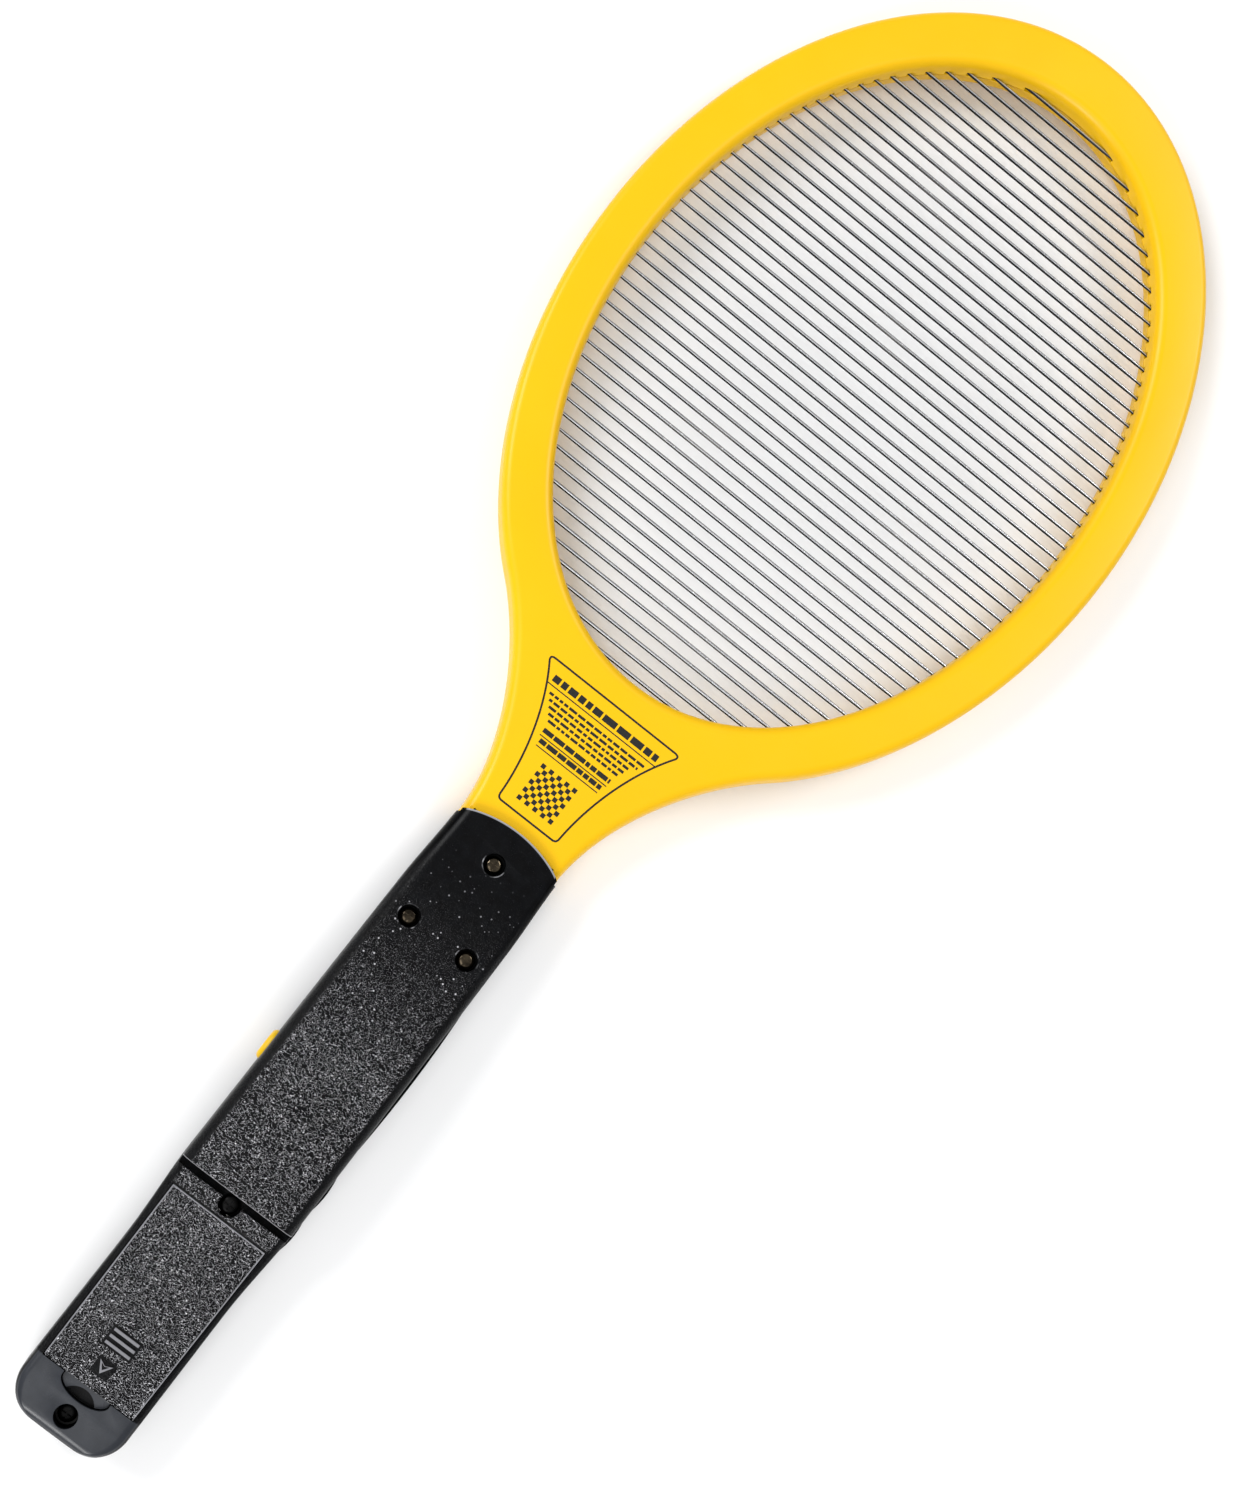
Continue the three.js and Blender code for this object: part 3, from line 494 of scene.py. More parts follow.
def grained_black(name, is_door):
    """Moulded wrinkle grain that thins out towards the neck, with painted glints on its crests and pale glint
    specks; plain butt; recesses and the step groove painted darker as shade; painted highlight lines on edges
    and screw rims.
    """
    look = Look(name)
    across, along, height = look.axis("X"), look.axis("Y"), look.axis("Z")
    lines = wrinkle_lines(look)
    to_neck = look.between(along, along_y(192), along_y(112))
    past_butt = look.between(along, along_y(DOOR_START - 0.5), along_y(DOOR_START))
    # Faces turned up: only these get the painted glints, as if their tops caught the light.
    facing = look.between(look.axis("Z", look.facing), 0.90, 0.985)
    recess_top = DOOR_RECESS_TOP if is_door else SHELL_RECESS_TOP
    shallow = look.between(height, height_z(recess_top), height_z(recess_top + 0.5))
    groove = band(look, along, along_y(STEP_Y - STEP_GROOVE_WIDTH), along_y(STEP_Y))
    open_face = look.product(shallow, look.rest_of(groove))
    patches = look.spread(look.noise(70, 3), 0.75, 1.1)
    beyond = past_door_edge(look, across, along)
    if is_door:
        plain = look.maths("ADD", around(look, across, along, 4.9, 27.3, 33.5),
                           around(look, across, along, 2.9, 19.8, 24.8), clamp=True)
    else:
        plain = band(look, beyond, 0, 0.75, 0.1)
    amount = look.product(to_neck, past_butt, patches, look.rest_of(plain))
    painted_crest_glints = look.product(crest_mask(look, lines, amount), facing, open_face)
    base = look.blend(past_butt, (0.024, 0.027, 0.034), (0.0020, 0.0020, 0.0023))
    # Painted shade: everything below the recess top, and the step groove, is painted darker than the open
    # faces.
    base = look.blend(open_face, (0.0012, 0.0012, 0.0012), base)
    base = look.blend(look.ramp(look.noise(300, 2), [(0.35, 0.0), (0.8, 0.35)]), base, (0.006, 0.007, 0.009))
    # Painted highlight: near-white glints on the wrinkle crests of up-facing open faces.
    colour = look.blend(painted_crest_glints, base, (0.84, 0.84, 0.88))
    # Painted highlight: pale glint dots, only on up-facing open faces.
    specks = look.product(scattered_glint_specks(look, along), facing, open_face)
    colour = look.blend(specks, colour, (0.50, 0.50, 0.53))
    if is_door:
        # Painted highlight: grey lines on the raised tops and along the door's edge.
        wear_and_painted_highlight = look.product(door_painted_highlights(look, beyond, along, height), open_face, 0.8)
        colour = look.blend(wear_and_painted_highlight, colour, (0.27, 0.27, 0.29))
    else:
        # Painted highlight: light grey lines on the step lip, the collar edge and parts of the screw rims.
        wear_and_painted_highlight = look.product(shell_painted_highlights(look, along), shallow, 0.75)
        colour = look.blend(wear_and_painted_highlight, colour, (0.40, 0.40, 0.42))
    butt_gloss = look.maths("MULTIPLY", look.rest_of(past_butt), 0.3)
    gloss = look.maths("ADD", butt_gloss, look.spread(facing, 0.09, 0.10))
    look.drive("Specular IOR Level", look.product(gloss, look.spread(open_face, 0.3, 1.0)))
    roughness = look.spread(look.noise(260, 3), 0.20, 0.40)
    grained = look.product(past_butt, look.between(along, along_y(202), along_y(165)))
    grain = look.bump(look.product(lines, grained), 0.6, 0.10)
    return look.finish(colour, roughness, look.bump(look.noise(2600, 1), 0.05, 0.02, grain))


def rod_steel():
    """Bright drawn wire: draw lines along the rod, a painted highlight on its top and painted shade, near
    black, on its flanks.
    """
    look = Look("rod_steel", Specular_IOR_Level=0.1)
    lines = look.noise(900, 2, vector=look.stretched((0.02, 1, 1)))
    facing = look.maths("ABSOLUTE", look.axis("Z", look.facing))
    flank = look.between(facing, 0.86, 0.97)
    bright = look.ramp(lines, [(0.3, (0.66, 0.67, 0.69)), (0.7, (0.90, 0.91, 0.93))])
    # Painted highlight and shade: the rod's top takes the bright metal colour, its flanks are painted near
    # black.
    colour = look.blend(flank, (0.004, 0.004, 0.005), bright)
    stain = look.ramp(look.noise(34, 2), [(0.58, 0.0), (0.8, 1.0)])
    colour = look.blend(look.product(stain, 0.25), colour, (0.42, 0.40, 0.37))
    look.drive("Metallic", flank)
    roughness = look.spread(look.noise(500, 3), 0.16, 0.34)
    return look.finish(colour, roughness, look.bump(lines, 0.12, 0.02))


def metal(name, light, dark, roughness=(0.22, 0.42), scale=600):
    look = Look(name, Metallic=1.0)
    cloud = look.noise(scale * 0.25, 3)
    colour = look.ramp(cloud, [(0.3, dark), (0.7, light)])
    turned = look.noise(scale, 2, vector=look.stretched((1, 1, 6)))
    return look.finish(colour, look.spread(turned, *roughness), look.bump(turned, 0.12, 0.02))


def moulded(name, light, dark, roughness=(0.35, 0.6), scale=420, strength=0.12, **sockets):
    """Any small plastic, coated or painted piece: clouded colour and a fine moulded surface."""
    look = Look(name, **sockets)
    colour = look.ramp(look.noise(scale * 0.2, 3), [(0.3, dark), (0.7, light)])
    return look.finish(colour, look.spread(look.noise(scale, 3), *roughness),
                       look.bump(look.noise(scale * 3, 2), strength, 0.03))


def printed_ink():
    """Thin black print, a little uneven where the ink is light."""
    look = Look("printed_ink", Specular_IOR_Level=0.4)
    colour = look.ramp(look.noise(1600, 3), [(0.35, (0.004, 0.004, 0.004)), (0.75, (0.014, 0.012, 0.008))])
    roughness = look.spread(look.noise(800, 2), 0.4, 0.6)
    return look.finish(colour, roughness, look.bump(look.noise(2400, 2), 0.1, 0.01))


def board_green():
    """Solder mask with copper tracks showing through as lighter green lines."""
    look = Look("board_green", Coat_Weight=0.4, Coat_Roughness=0.15)
    inputs = {"Vector": look.coords, "Scale": 120.0, "Mortar Size": 0.06, "Color1": (0.02, 0.12, 0.04, 1),
              "Color2": (0.025, 0.15, 0.05, 1), "Mortar": (0.06, 0.26, 0.10, 1)}
    tracks = look.node("ShaderNodeTexBrick", inputs)
    weave = look.noise(1300, 2)
    colour = look.blend(look.product(weave, 0.35), tracks.outputs["Color"], (0.03, 0.10, 0.04))
    return look.finish(colour, look.spread(weave, 0.3, 0.5), look.bump(tracks.outputs["Fac"], 0.25, 0.05))


def resistor_bands(name, rings):
    """Lacquered body with painted colour rings round it along Y."""
    low, high = (corner.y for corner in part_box(name))
    look = Look(name + "_look", Coat_Weight=0.3, Coat_Roughness=0.2)
    place = look.node("ShaderNodeMapRange", {"Value": look.axis("Y"), "From Min": low, "From Max": high})
    body = (0.50, 0.36, 0.18)
    first_ring, ring_pitch, ring_width = 0.30, 0.11, 0.05
    stops = [(0.0, body)]
    for index, ring in enumerate(rings):
        start = first_ring + ring_pitch * index
        stops += [(start, ring), (start + ring_width, body)]
    colour = look.ramp(place.outputs["Result"], stops, "CONSTANT")
    roughness = look.spread(look.noise(900, 2), 0.3, 0.5)
    return look.finish(colour, roughness, look.bump(look.noise(1500, 2), 0.1, 0.02))


LOOKS = {
    "yellow": yellow_plastic("yellow_moulding"),
    "grain": grained_black("black_grain", False),
    "door_grain": grained_black("door_grain", True),
    "rod": rod_steel(),
    "screw": metal("zinc_screw", (0.15, 0.12, 0.08), (0.015, 0.012, 0.01), (0.08, 0.2), 900),
    "dark_screw": metal("blackened_screw", (0.02, 0.02, 0.02), (0.006, 0.006, 0.006), (0.3, 0.5)),
    "contact": metal("nickel_contact", (0.80, 0.79, 0.74), (0.60, 0.59, 0.55), (0.15, 0.3)),
    "button": yellow_plastic("button_moulding", (0.90, 0.58, 0.01), (0.80, 0.46, 0.006)),
    "ink": printed_ink(),
}


# ---------------------------------------------------------------- head
def ellipse(centre_y, half_width, half_length, start, end, count):
    angles = [math.radians(start + (end - start) * i / count) for i in range(count + 1)]
    return [(half_width * math.cos(a), centre_y + half_length * math.sin(a)) for a in angles]


def bezier(points, count):
    curve = []
    for i in range(count + 1):
        t = i / count
        weights = ((1 - t) ** 3, 3 * (1 - t) ** 2 * t, 3 * (1 - t) * t * t, t ** 3)
        curve.append(tuple(sum(w * p[k] for w, p in zip(weights, points)) for k in (0, 1)))
    return curve


def neck_side(join, start_y=SHOULDER_Y):
    side = math.copysign(1, join[0])
    half = side * NECK_HALF_WIDTH
    controls = [(half, start_y), (half, start_y + 23), (join[0] - side * 17.5, join[1] - 16), join]
    return bezier(controls, 30)


def head_outline():
    start = NECK_JOIN_ANGLE - 90
    ring = ellipse(HEAD_CENTRE_Y, HEAD_HALF_WIDTH, HEAD_HALF_LENGTH, start, 180 - start, 260)
    right, left = neck_side(ring[0]), neck_side(ring[-1])
    foot = [(x, SHOULDER_Y) for x in range(-16, 17, 2)]
    return right[:-1] + ring + left[::-1][1:] + foot


def hole_outline():
    return ellipse(HOLE_CENTRE_Y, HOLE_HALF_WIDTH, HOLE_HALF_LENGTH, 0, 360, 300)[:-1]


def inward_normals(outline, towards_solid):
    """Unit normals of a counterclockwise outline, pointing into the solid."""
    normals = []
    count = len(outline)
    for i in range(count):
        (x0, y0), (x1, y1) = outline[i - 1], outline[(i + 1) % count]
        length = math.hypot(x1 - x0, y1 - y0)
        normals.append((-(y1 - y0) / length * towards_solid, (x1 - x0) / length * towards_solid))
    return normals


def edge_profile(radius, steps, side_draft=0.25):
    """(inset, height) pairs up a wall and over its rounded edge, height counted from the parting plane."""
    top = HEAD_HALF_THICKNESS
    pairs = [(0, GAP / 2), (side_draft * 0.4, (top - radius) * 0.6)]
    for i in range(steps + 1):
        angle = math.pi / 2 * i / steps
        pairs.append((side_draft + radius * (1 - math.cos(angle)), top - radius + radius * math.sin(angle)))
    return pairs


def head_half(name, side):
    """side is +1 for the back half and -1 for the front half."""
    bm = bmesh.new()
    rims = []
    for outline, towards_solid, radius in ((head_outline(), 1, 3.0), (hole_outline(), -1, 3.4)):
        normals = inward_normals(outline, towards_solid)
        rings = []
        for inset, height in edge_profile(radius, 8):
            points = [at(x + nx * inset, y + ny * inset, side * height)
                      for (x, y), (nx, ny) in zip(outline, normals)]
            rings.append(add_loop(bm, points))
        skin(bm, rings)
        rims.append((rings[0], rings[-1]))
    for level in (0, 1):
        edges = []
        for rim in rims:
            loop = rim[level]
            for i, vert in enumerate(loop):
                other = loop[(i + 1) % len(loop)]
                edges.append(bm.edges.get((vert, other)) or bm.edges.new((vert, other)))
        bmesh.ops.triangle_fill(bm, edges=edges, use_beauty=True)
    return make_object(name, bm, 50)


def rod_y(index):
    return HOLE_CENTRE_Y + (index - (ROD_COUNT - 1) / 2) * ROD_PITCH


def hole_reach(y, offset):
    """Half the width of the hole at y, the hole grown by an offset."""
    ratio = (y - HOLE_CENTRE_Y) / (HOLE_HALF_LENGTH + offset)
    return (HOLE_HALF_WIDTH + offset) * math.sqrt(max(0.0, 1 - ratio * ratio))


def rod_notches():
    """Slots in the hole's wall, one at each end of every rod."""
    bm = bmesh.new()
    half = ROD_RADIUS + GAP
    for index in range(ROD_COUNT):
        y = rod_y(index)
        reach = hole_reach(y, WALL + 1.6)
        add_box(bm, (-reach, reach), (y - half, y + half), (-1, ROD_Z + half))
    return bm


def tang():
    """The narrow part of the neck that the handle shells close over."""
    into_neck = SHOULDER_Y + 8
    return box_shape((-TANG_HALF_WIDTH, TANG_HALF_WIDTH), (TANG_START, into_neck), (GAP / 2, TANG_HEIGHT))


def add_rod(bm, x0, x1, y, sway):
    """A round rod along X with softened ends; sway is how far its middle bows out of line."""
    count = 12
    rings = []
    for i in range(count + 1):
        part = i / count
        radius = ROD_RADIUS * (0.7 if i in (0, count) else 1)
        bow = sway * math.sin(math.pi * part)
        around_axis = circle(y + bow, ROD_Z, radius, ROD_SIDES)
        rings.append([at(x0 + (x1 - x0) * part, ring_y, ring_z) for ring_y, ring_z in around_axis])
    loft(bm, rings)


def grid_comb(name, side, first):
    """Every second rod, from the first given one, joined by a bus strip buried in the rim on one side."""
    rng = random.Random(11 + first)
    bm = bmesh.new()
    for index in range(first, ROD_COUNT, 2):
        y = rod_y(index)
        bus_end = side * hole_reach(y, BUS_OFFSET)
        free_end = -side * (hole_reach(y, 0) + 3)
        add_rod(bm, bus_end, free_end, y, rng.uniform(-ROD_SWAY, ROD_SWAY))
    arcs = [ellipse(HOLE_CENTRE_Y, side * (HOLE_HALF_WIDTH + offset), HOLE_HALF_LENGTH + offset, -72, 72, 80)
            for offset in (BUS_OFFSET + BUS_HALF_WIDTH, BUS_OFFSET - BUS_HALF_WIDTH)]
    add_prism(bm, arcs[0] + arcs[1][::-1], (ROD_Z - BUS_HALF_THICKNESS, ROD_Z + BUS_HALF_THICKNESS))
    return make_object(name, bm)


def label_outline():
    """The printed panel's outline, counterclockwise: concave sides and rounded corners."""
    low, high = LABEL_START, LABEL_START + LABEL_LENGTH
    foot = bezier([(9.4, low), (10.9, low), (11.4, low + 0.8), (11.4, low + 2.4)], 8)
    side = bezier([(11.4, low + 2.4), (12.2, low + 16), (16.8, low + 31), (23.9, high - 2.6)], 26)
    head = bezier([(23.9, high - 2.6), (25.2, high - 0.9), (24.4, high), (22.4, high - 0.1)], 8)
    right = foot + side[1:] + head[1:]
    return [(x + LABEL_SHIFT, y) for x, y in right + [(-x, y) for x, y in reversed(right)]]


def add_stroke(bm, outline, width, low, high):
    """A closed thin printed line along an outline."""
    normals = inward_normals(outline, 1)
    inner = [(x + nx * width, y + ny * width) for (x, y), (nx, ny) in zip(outline, normals)]
    corners = ((low, outline), (high, outline), (high, inner), (low, inner))
    rings = [add_loop(bm, [at(x, y, z) for x, y in ring]) for z, ring in corners]
    for first, second in zip(rings, rings[1:] + rings[:1]):
        bridge(bm, first, second)


def neck_print():
    """A plain stand-in for the printed panel: an outline, blank rules and an even checker square."""
    low = HEAD_HALF_THICKNESS - INK_SUNK
    high = HEAD_HALF_THICKNESS + INK_RISE
    rng = random.Random(4)
    bm = bmesh.new()
    add_stroke(bm, label_outline(), LABEL_LINE, low, high)

    def rule(x0, x1, y, thickness):
        start = LABEL_START + y
        add_box(bm, (x0 + LABEL_SHIFT, x1 + LABEL_SHIFT), (start, start + thickness), (low, high))

    def dashes(half, y, thickness, dash, space):
        x = -half
        while x < half - 0.5:
            end = min(half, x + dash * rng.uniform(0.5, 1.5))
            rule(x, end, y, thickness)
            x = end + space

    dashes(19.8, 38.0, 2.2, 3.4, 0.7)
    rule(-20.4, 20.4, 36.7, 0.36)
    for row, half in enumerate((18.0, 16.8, 15.6, 14.4, 13.2)):
        dashes(half, 34.3 - 1.75 * row, 0.85, 2.0, 0.5)
    for row, half in enumerate((12.6, 11.6)):
        dashes(half, 24.0 - 3.2 * row, 1.5, 2.6, 0.42)
        rule(-half, half, 22.8 - 3.2 * row, 0.34)
    cells, checker_size, checker_start = 9, 13.2, 3.6
    size = checker_size / cells
    inked = 0.98 * size
    for i in range(cells):
        for j in range(i % 2, cells, 2):
            x = -checker_size / 2 + i * size
            rule(x, x + inked, checker_start + j * size, inked)
    return make_object("neck_print", bm)


# ---------------------------------------------------------------- handle
def smoothstep(value, low, high):
    t = min(1, max(0, (value - low) / (high - low)))
    return t * t * (3 - 2 * t)


def half_width(y):
    swell = smoothstep(y, 52, 82) * (GRIP_HALF_WIDTH - BATTERY_HALF_WIDTH)
    narrowing = smoothstep(y, 180, 206) * 0.8
    depth = max(0, BUTT_RADIUS - y)
    return BATTERY_HALF_WIDTH + swell - narrowing - (BUTT_RADIUS - math.sqrt(BUTT_RADIUS ** 2 - depth ** 2))


def butt_drop(y):
    depth = max(0, 3 - y)
    return 3 - math.sqrt(9 - depth ** 2)


def back_height(y):
    if y <= STEP_Y:
        ramp = min(1, max(0, (y - DOOR_END) / (STEP_Y - DOOR_END)))
        return BATTERY_BACK_HEIGHT + RAMP_RISE * ramp - butt_drop(y)
    return GRIP_BACK_HEIGHT - smoothstep(y, 110, 206) * (GRIP_BACK_HEIGHT - JUNCTION_HEIGHT)


def front_depth(y):
    return FRONT_DEPTH - smoothstep(y, 150, 206) * (FRONT_DEPTH - JUNCTION_HEIGHT) - butt_drop(y)


def grip_swell(y):
    for start, end, swell in FINGER_GRIPS:
        if start < y < end:
            return swell * math.sin(math.pi * (y - start) / (end - start)) ** 0.6
    return 0


def shell_section(y, left, right, height, radius, side):
    steps = 8
    points = [(-left, GAP / 2), (right, GAP / 2)]
    for i in range(steps + 1):
        angle = math.pi / 2 * i / steps
        points.append((right - radius * (1 - math.cos(angle)), height - radius * (1 - math.sin(angle))))
    for i in range(steps + 1):
        angle = math.pi / 2 * (1 - i / steps)
        points.append((-left + radius * (1 - math.cos(angle)), height - radius * (1 - math.sin(angle))))
    return [at(x, y, side * z) for x, z in points]


def stations(*runs):
    """Stations along the handle from (start, end, step) runs."""
    places = []
    for start, end, step in runs:
        count = max(1, round((end - start) / step))
        places += [start + (end - start) * i / count for i in range(count)]
    return places


def back_loft(inset, places):
    bm = bmesh.new()
    sections = []
    for y in places:
        width = half_width(y) - inset
        radius = (3 if y <= STEP_Y else 4.5) - inset / 2
        sections.append(shell_section(y, width, width, back_height(y) - inset, radius, 1))
    loft(bm, sections)
    return bm


def front_loft(inset, places):
    bm = bmesh.new()
    sections = []
    for y in places:
        width = half_width(y) - inset
        swell = 0 if inset else grip_swell(y)
        sections.append(shell_section(y, width, width + swell, front_depth(y) - inset, 5 - inset / 2, -1))
    loft(bm, sections)
    return bm


BUTT_RUN = [(0, 2.4, 0.4), (2.4, BUTT_RADIUS, 0.9)]
CAVITY_STATIONS = stations((84, 214, 10)) + [214]


def collar_cutter():
    """Everything beyond the arched edge that ends both shells over the neck."""
    half_width_cut, end, count = 26, 240, 48
    reach = math.asin(half_width_cut / ARCH_RADIUS)
    arc = [(ARCH_RADIUS * math.sin(a), ARCH_CENTRE_Y + ARCH_RADIUS * math.cos(a))
           for a in (reach - 2 * reach * i / count for i in range(count + 1))]
    return prism_shape([(half_width_cut, end)] + arc + [(-half_width_cut, end)], (-CLEAR, CLEAR))


def neck_room():
    room = HEAD_HALF_THICKNESS + GAP
    return box_shape((-40, 40), (SHOULDER_Y - GAP, 250), (-room, room))


def stadium(half_length, radius, count=14):
    points = []
    for centre, start in ((half_length - radius, -math.pi / 2), (radius - half_length, math.pi / 2)):
        for i in range(count + 1):
            angle = start + math.pi * i / count
            points.append((centre + radius * math.cos(angle), radius * math.sin(angle)))
    return points


def button_ring(x, shrink):
    outline = stadium(BUTTON_HALF_LENGTH - shrink, BUTTON_HALF_HEIGHT - shrink)
    return [at(x, BUTTON_Y + along, up) for along, up in outline]


def button_hole():
    bm = bmesh.new()
    loft(bm, [button_ring(-15, -GAP), button_ring(-24, -GAP)])
    return bm


def door_outline(grow):
    start, end = DOOR_HALF_WIDTH_START + grow, DOOR_HALF_WIDTH_END + grow
    low, high = DOOR_START - grow, DOOR_END + grow
    return [(-start, low), (start, low), (end, high), (-end, high)]


def latch_recess(grow):
    """The D-shaped finger recess beyond the latch end of the door."""
    half = LATCH_HALF_WIDTH + grow
    bow = ellipse(LATCH_CHORD_Y, half, LATCH_BOW + grow, 180, 360, 28)
    return [(-half, DOOR_START + 1)] + bow + [(half, DOOR_START + 1)]


def hollow(shell, cavity):
    """Leaves a wall round the grip, open to the neck, the collar's arch and the button."""
    carve(shell, cavity)
    carve(shell, neck_room())
    carve(shell, collar_cutter())
    carve(shell, button_hole())


def back_shell():
    lower = (BUTT_RADIUS, 50, 8), (50, DOOR_END, 3), (DOOR_END, STEP_Y, 1.3), (STEP_Y, 80.3, 0.3)
    places = stations(*BUTT_RUN, *lower, (80.3, 110, 8), (110, 212, 3)) + [212]
    shell = make_object("back_shell", back_loft(0, places))
    hollow(shell, back_loft(WALL, CAVITY_STATIONS))
    ledge = BATTERY_BACK_HEIGHT - DOOR_THICKNESS - GAP
    carve(shell, box_shape((-BAY_HALF_WIDTH, BAY_HALF_WIDTH), BAY_RUN, (-1, ledge)))
    carve(shell, prism_shape(door_outline(GAP), (ledge - 0.01, CLEAR)))
    tab_room = TAB_HALF_WIDTH + GAP
    for x in DOOR_TABS_X:
        carve(shell, box_shape((x - tab_room, x + tab_room), (DOOR_END - 4, DOOR_END + 2.4), (4.6, 7.6)))
    carve(shell, prism_shape(latch_recess(0), (LATCH_FLOOR, CLEAR)))
    groove_run = (STEP_Y - STEP_GROOVE_WIDTH, STEP_Y)
    carve(shell, box_shape((-CLEAR, CLEAR), groove_run, (STEP_GROOVE_FLOOR, CLEAR)))
    for number in NECK_SCREWS:
        x, y, _ = SCREWS[number]
        post = prism_shape(circle(x, y, SCREW_POST_RADIUS), (SCREW_POST_BASE, back_height(y) - 1))
        carve(shell, post, "UNION")
    for x, y, ledge_z in SCREWS.values():
        carve(shell, prism_shape(circle(x, y, SCREW_RECESS_RADIUS, 48), (ledge_z, CLEAR)))
        carve(shell, prism_shape(circle(x, y, SCREW_HOLE_RADIUS, 24), (-5, ledge_z + 0.5)))
    round_edges(shell, 0.4, segments=3)
    return shell


def front_shell():
    places = stations(*BUTT_RUN, (BUTT_RADIUS, 73, 8), (73, 163, 1.0), (163, 212, 4)) + [212]
    shell = make_object("front_shell", front_loft(0, places))
    hollow(shell, front_loft(WALL, CAVITY_STATIONS))
    carve(shell, box_shape((-BAY_HALF_WIDTH, BAY_HALF_WIDTH), BAY_RUN, (-BAY_DEPTH, 1)))
    carve(shell, prism_shape(circle(LAMP_X, LAMP_Y, LAMP_HOLE_RADIUS, 32), (-20, -6)))
    for number, (x, y, _) in SCREWS.items():
        if number in NECK_SCREWS:
            post = prism_shape(circle(x, y, SCREW_POST_RADIUS), (1 - front_depth(y), -SCREW_POST_BASE))
            carve(shell, post, "UNION")
        carve(shell, prism_shape(circle(x, y, SCREW_HOLE_RADIUS, 24), (-7.6, 1)))
    round_edges(shell, 0.28)
    return shell


def battery_door():
    """A panel of the shell's own surface with a latch tongue, two hooking tabs, three ridges and an arrow."""
    places = stations(*BUTT_RUN, (BUTT_RADIUS, STEP_Y, 4)) + [STEP_Y]
    door = make_object("door_panel", back_loft(0, places))
    bottom = BATTERY_BACK_HEIGHT - DOOR_THICKNESS
    into_panel = bottom + 0.2
    carve(door, prism_shape(door_outline(0), (bottom, CLEAR)), "INTERSECT")
    carve(door, prism_shape(latch_recess(-GAP - 0.1), (6.6, 8.2)), "UNION")
    carve(door, box_shape((-7.4, 7.4), (DOOR_START, DOOR_START + 1.4), (6.6, into_panel)), "UNION")
    for x in DOOR_TABS_X:
        xs = (x - TAB_HALF_WIDTH, x + TAB_HALF_WIDTH)
        carve(door, box_shape(xs, (DOOR_END - 2.6, DOOR_END + 1.4), (6, 7.1)), "UNION")
        carve(door, box_shape(xs, (DOOR_END - 2.6, DOOR_END - 0.8), (6.9, into_panel)), "UNION")
    carve(door, prism_shape(circle(0, DOOR_START - 7.2, 6, 64), (7.3, CLEAR)))
    for step in range(3):
        low = RIDGE_START + RIDGE_PITCH * step
        ridge = box_shape((-RIDGE_HALF_LENGTH, RIDGE_HALF_LENGTH), (low, low + RIDGE_WIDTH),
                          (9, BATTERY_BACK_HEIGHT + RIDGE_RISE))
        carve(door, ridge, "UNION")
    carve(door, prism_shape(ARROW, (9.2, BATTERY_BACK_HEIGHT + ARROW_RISE)), "UNION")
    carve(door, prism_shape(ARROW_HOLLOW, (BATTERY_BACK_HEIGHT, CLEAR)))
    round_edges(door, 0.42, segments=3)
    return door


def power_button():
    """A crowned oval cap on a flange that keeps it inside the wall."""
    steps = 6
    rings = [button_ring(BUTTON_BACK_X, 0), button_ring(BUTTON_FACE_X + BUTTON_CROWN, 0)]
    for i in range(1, steps + 1):
        angle = math.pi / 2 * i / steps
        x = BUTTON_FACE_X + BUTTON_CROWN * (1 - math.sin(angle))
        rings.append(button_ring(x, BUTTON_CROWN * (1 - math.cos(angle))))
    bm = bmesh.new()
    loft(bm, rings)
    button = make_object("button_cap", bm)
    length, height = BUTTON_HALF_LENGTH + FLANGE_MARGIN, BUTTON_HALF_HEIGHT + FLANGE_MARGIN
    xs = (BUTTON_BACK_X - FLANGE_THICKNESS, BUTTON_BACK_X)
    carve(button, box_shape(xs, (BUTTON_Y - length, BUTTON_Y + length), (-height, height)), "UNION")
    shade(button)
    return button


def case_screw(number, x, y, ledge_z):
    """A pan-head self-tapping screw with a cross recess and thread rings."""
    tip, tip_radius, thread_start, thread_pitch = -7, 0.02, -5.2, 0.8
    root, crest = 0.95, 1.25
    bottom = ledge_z + GAP
    rim, top = bottom + 0.5, bottom + 1.6
    profile = [(tip_radius, tip), (1.0, -5.6)]
    height = thread_start
    while height < bottom - 1.2:
        profile += [(root, height), (crest, height + 0.35), (root, height + 0.7)]
        height += thread_pitch
    profile += [(1.1, bottom), (SCREW_HEAD_RADIUS, bottom), (SCREW_HEAD_RADIUS, rim)]
    steps = 6
    for i in range(1, steps + 1):
        angle = math.pi / 2 * i / steps
        profile.append((1.2 + 1.5 * math.cos(angle), rim + 1.1 * math.sin(angle)))
    profile.append((tip_radius, top))
    bm = bmesh.new()
    loft(bm, [[at(px, py, z) for px, py in circle(x, y, radius, 32)] for radius, z in profile])
    screw = make_object(f"case_screw_{number}_detail", bm)
    for width, length in ((0.62, 3.2), (3.2, 0.62)):
        xs, ys = (x - width / 2, x + width / 2), (y - length / 2, y + length / 2)
        carve(screw, box_shape(xs, ys, (top - 0.9, top + 1)))
    shade(screw)
    return screw


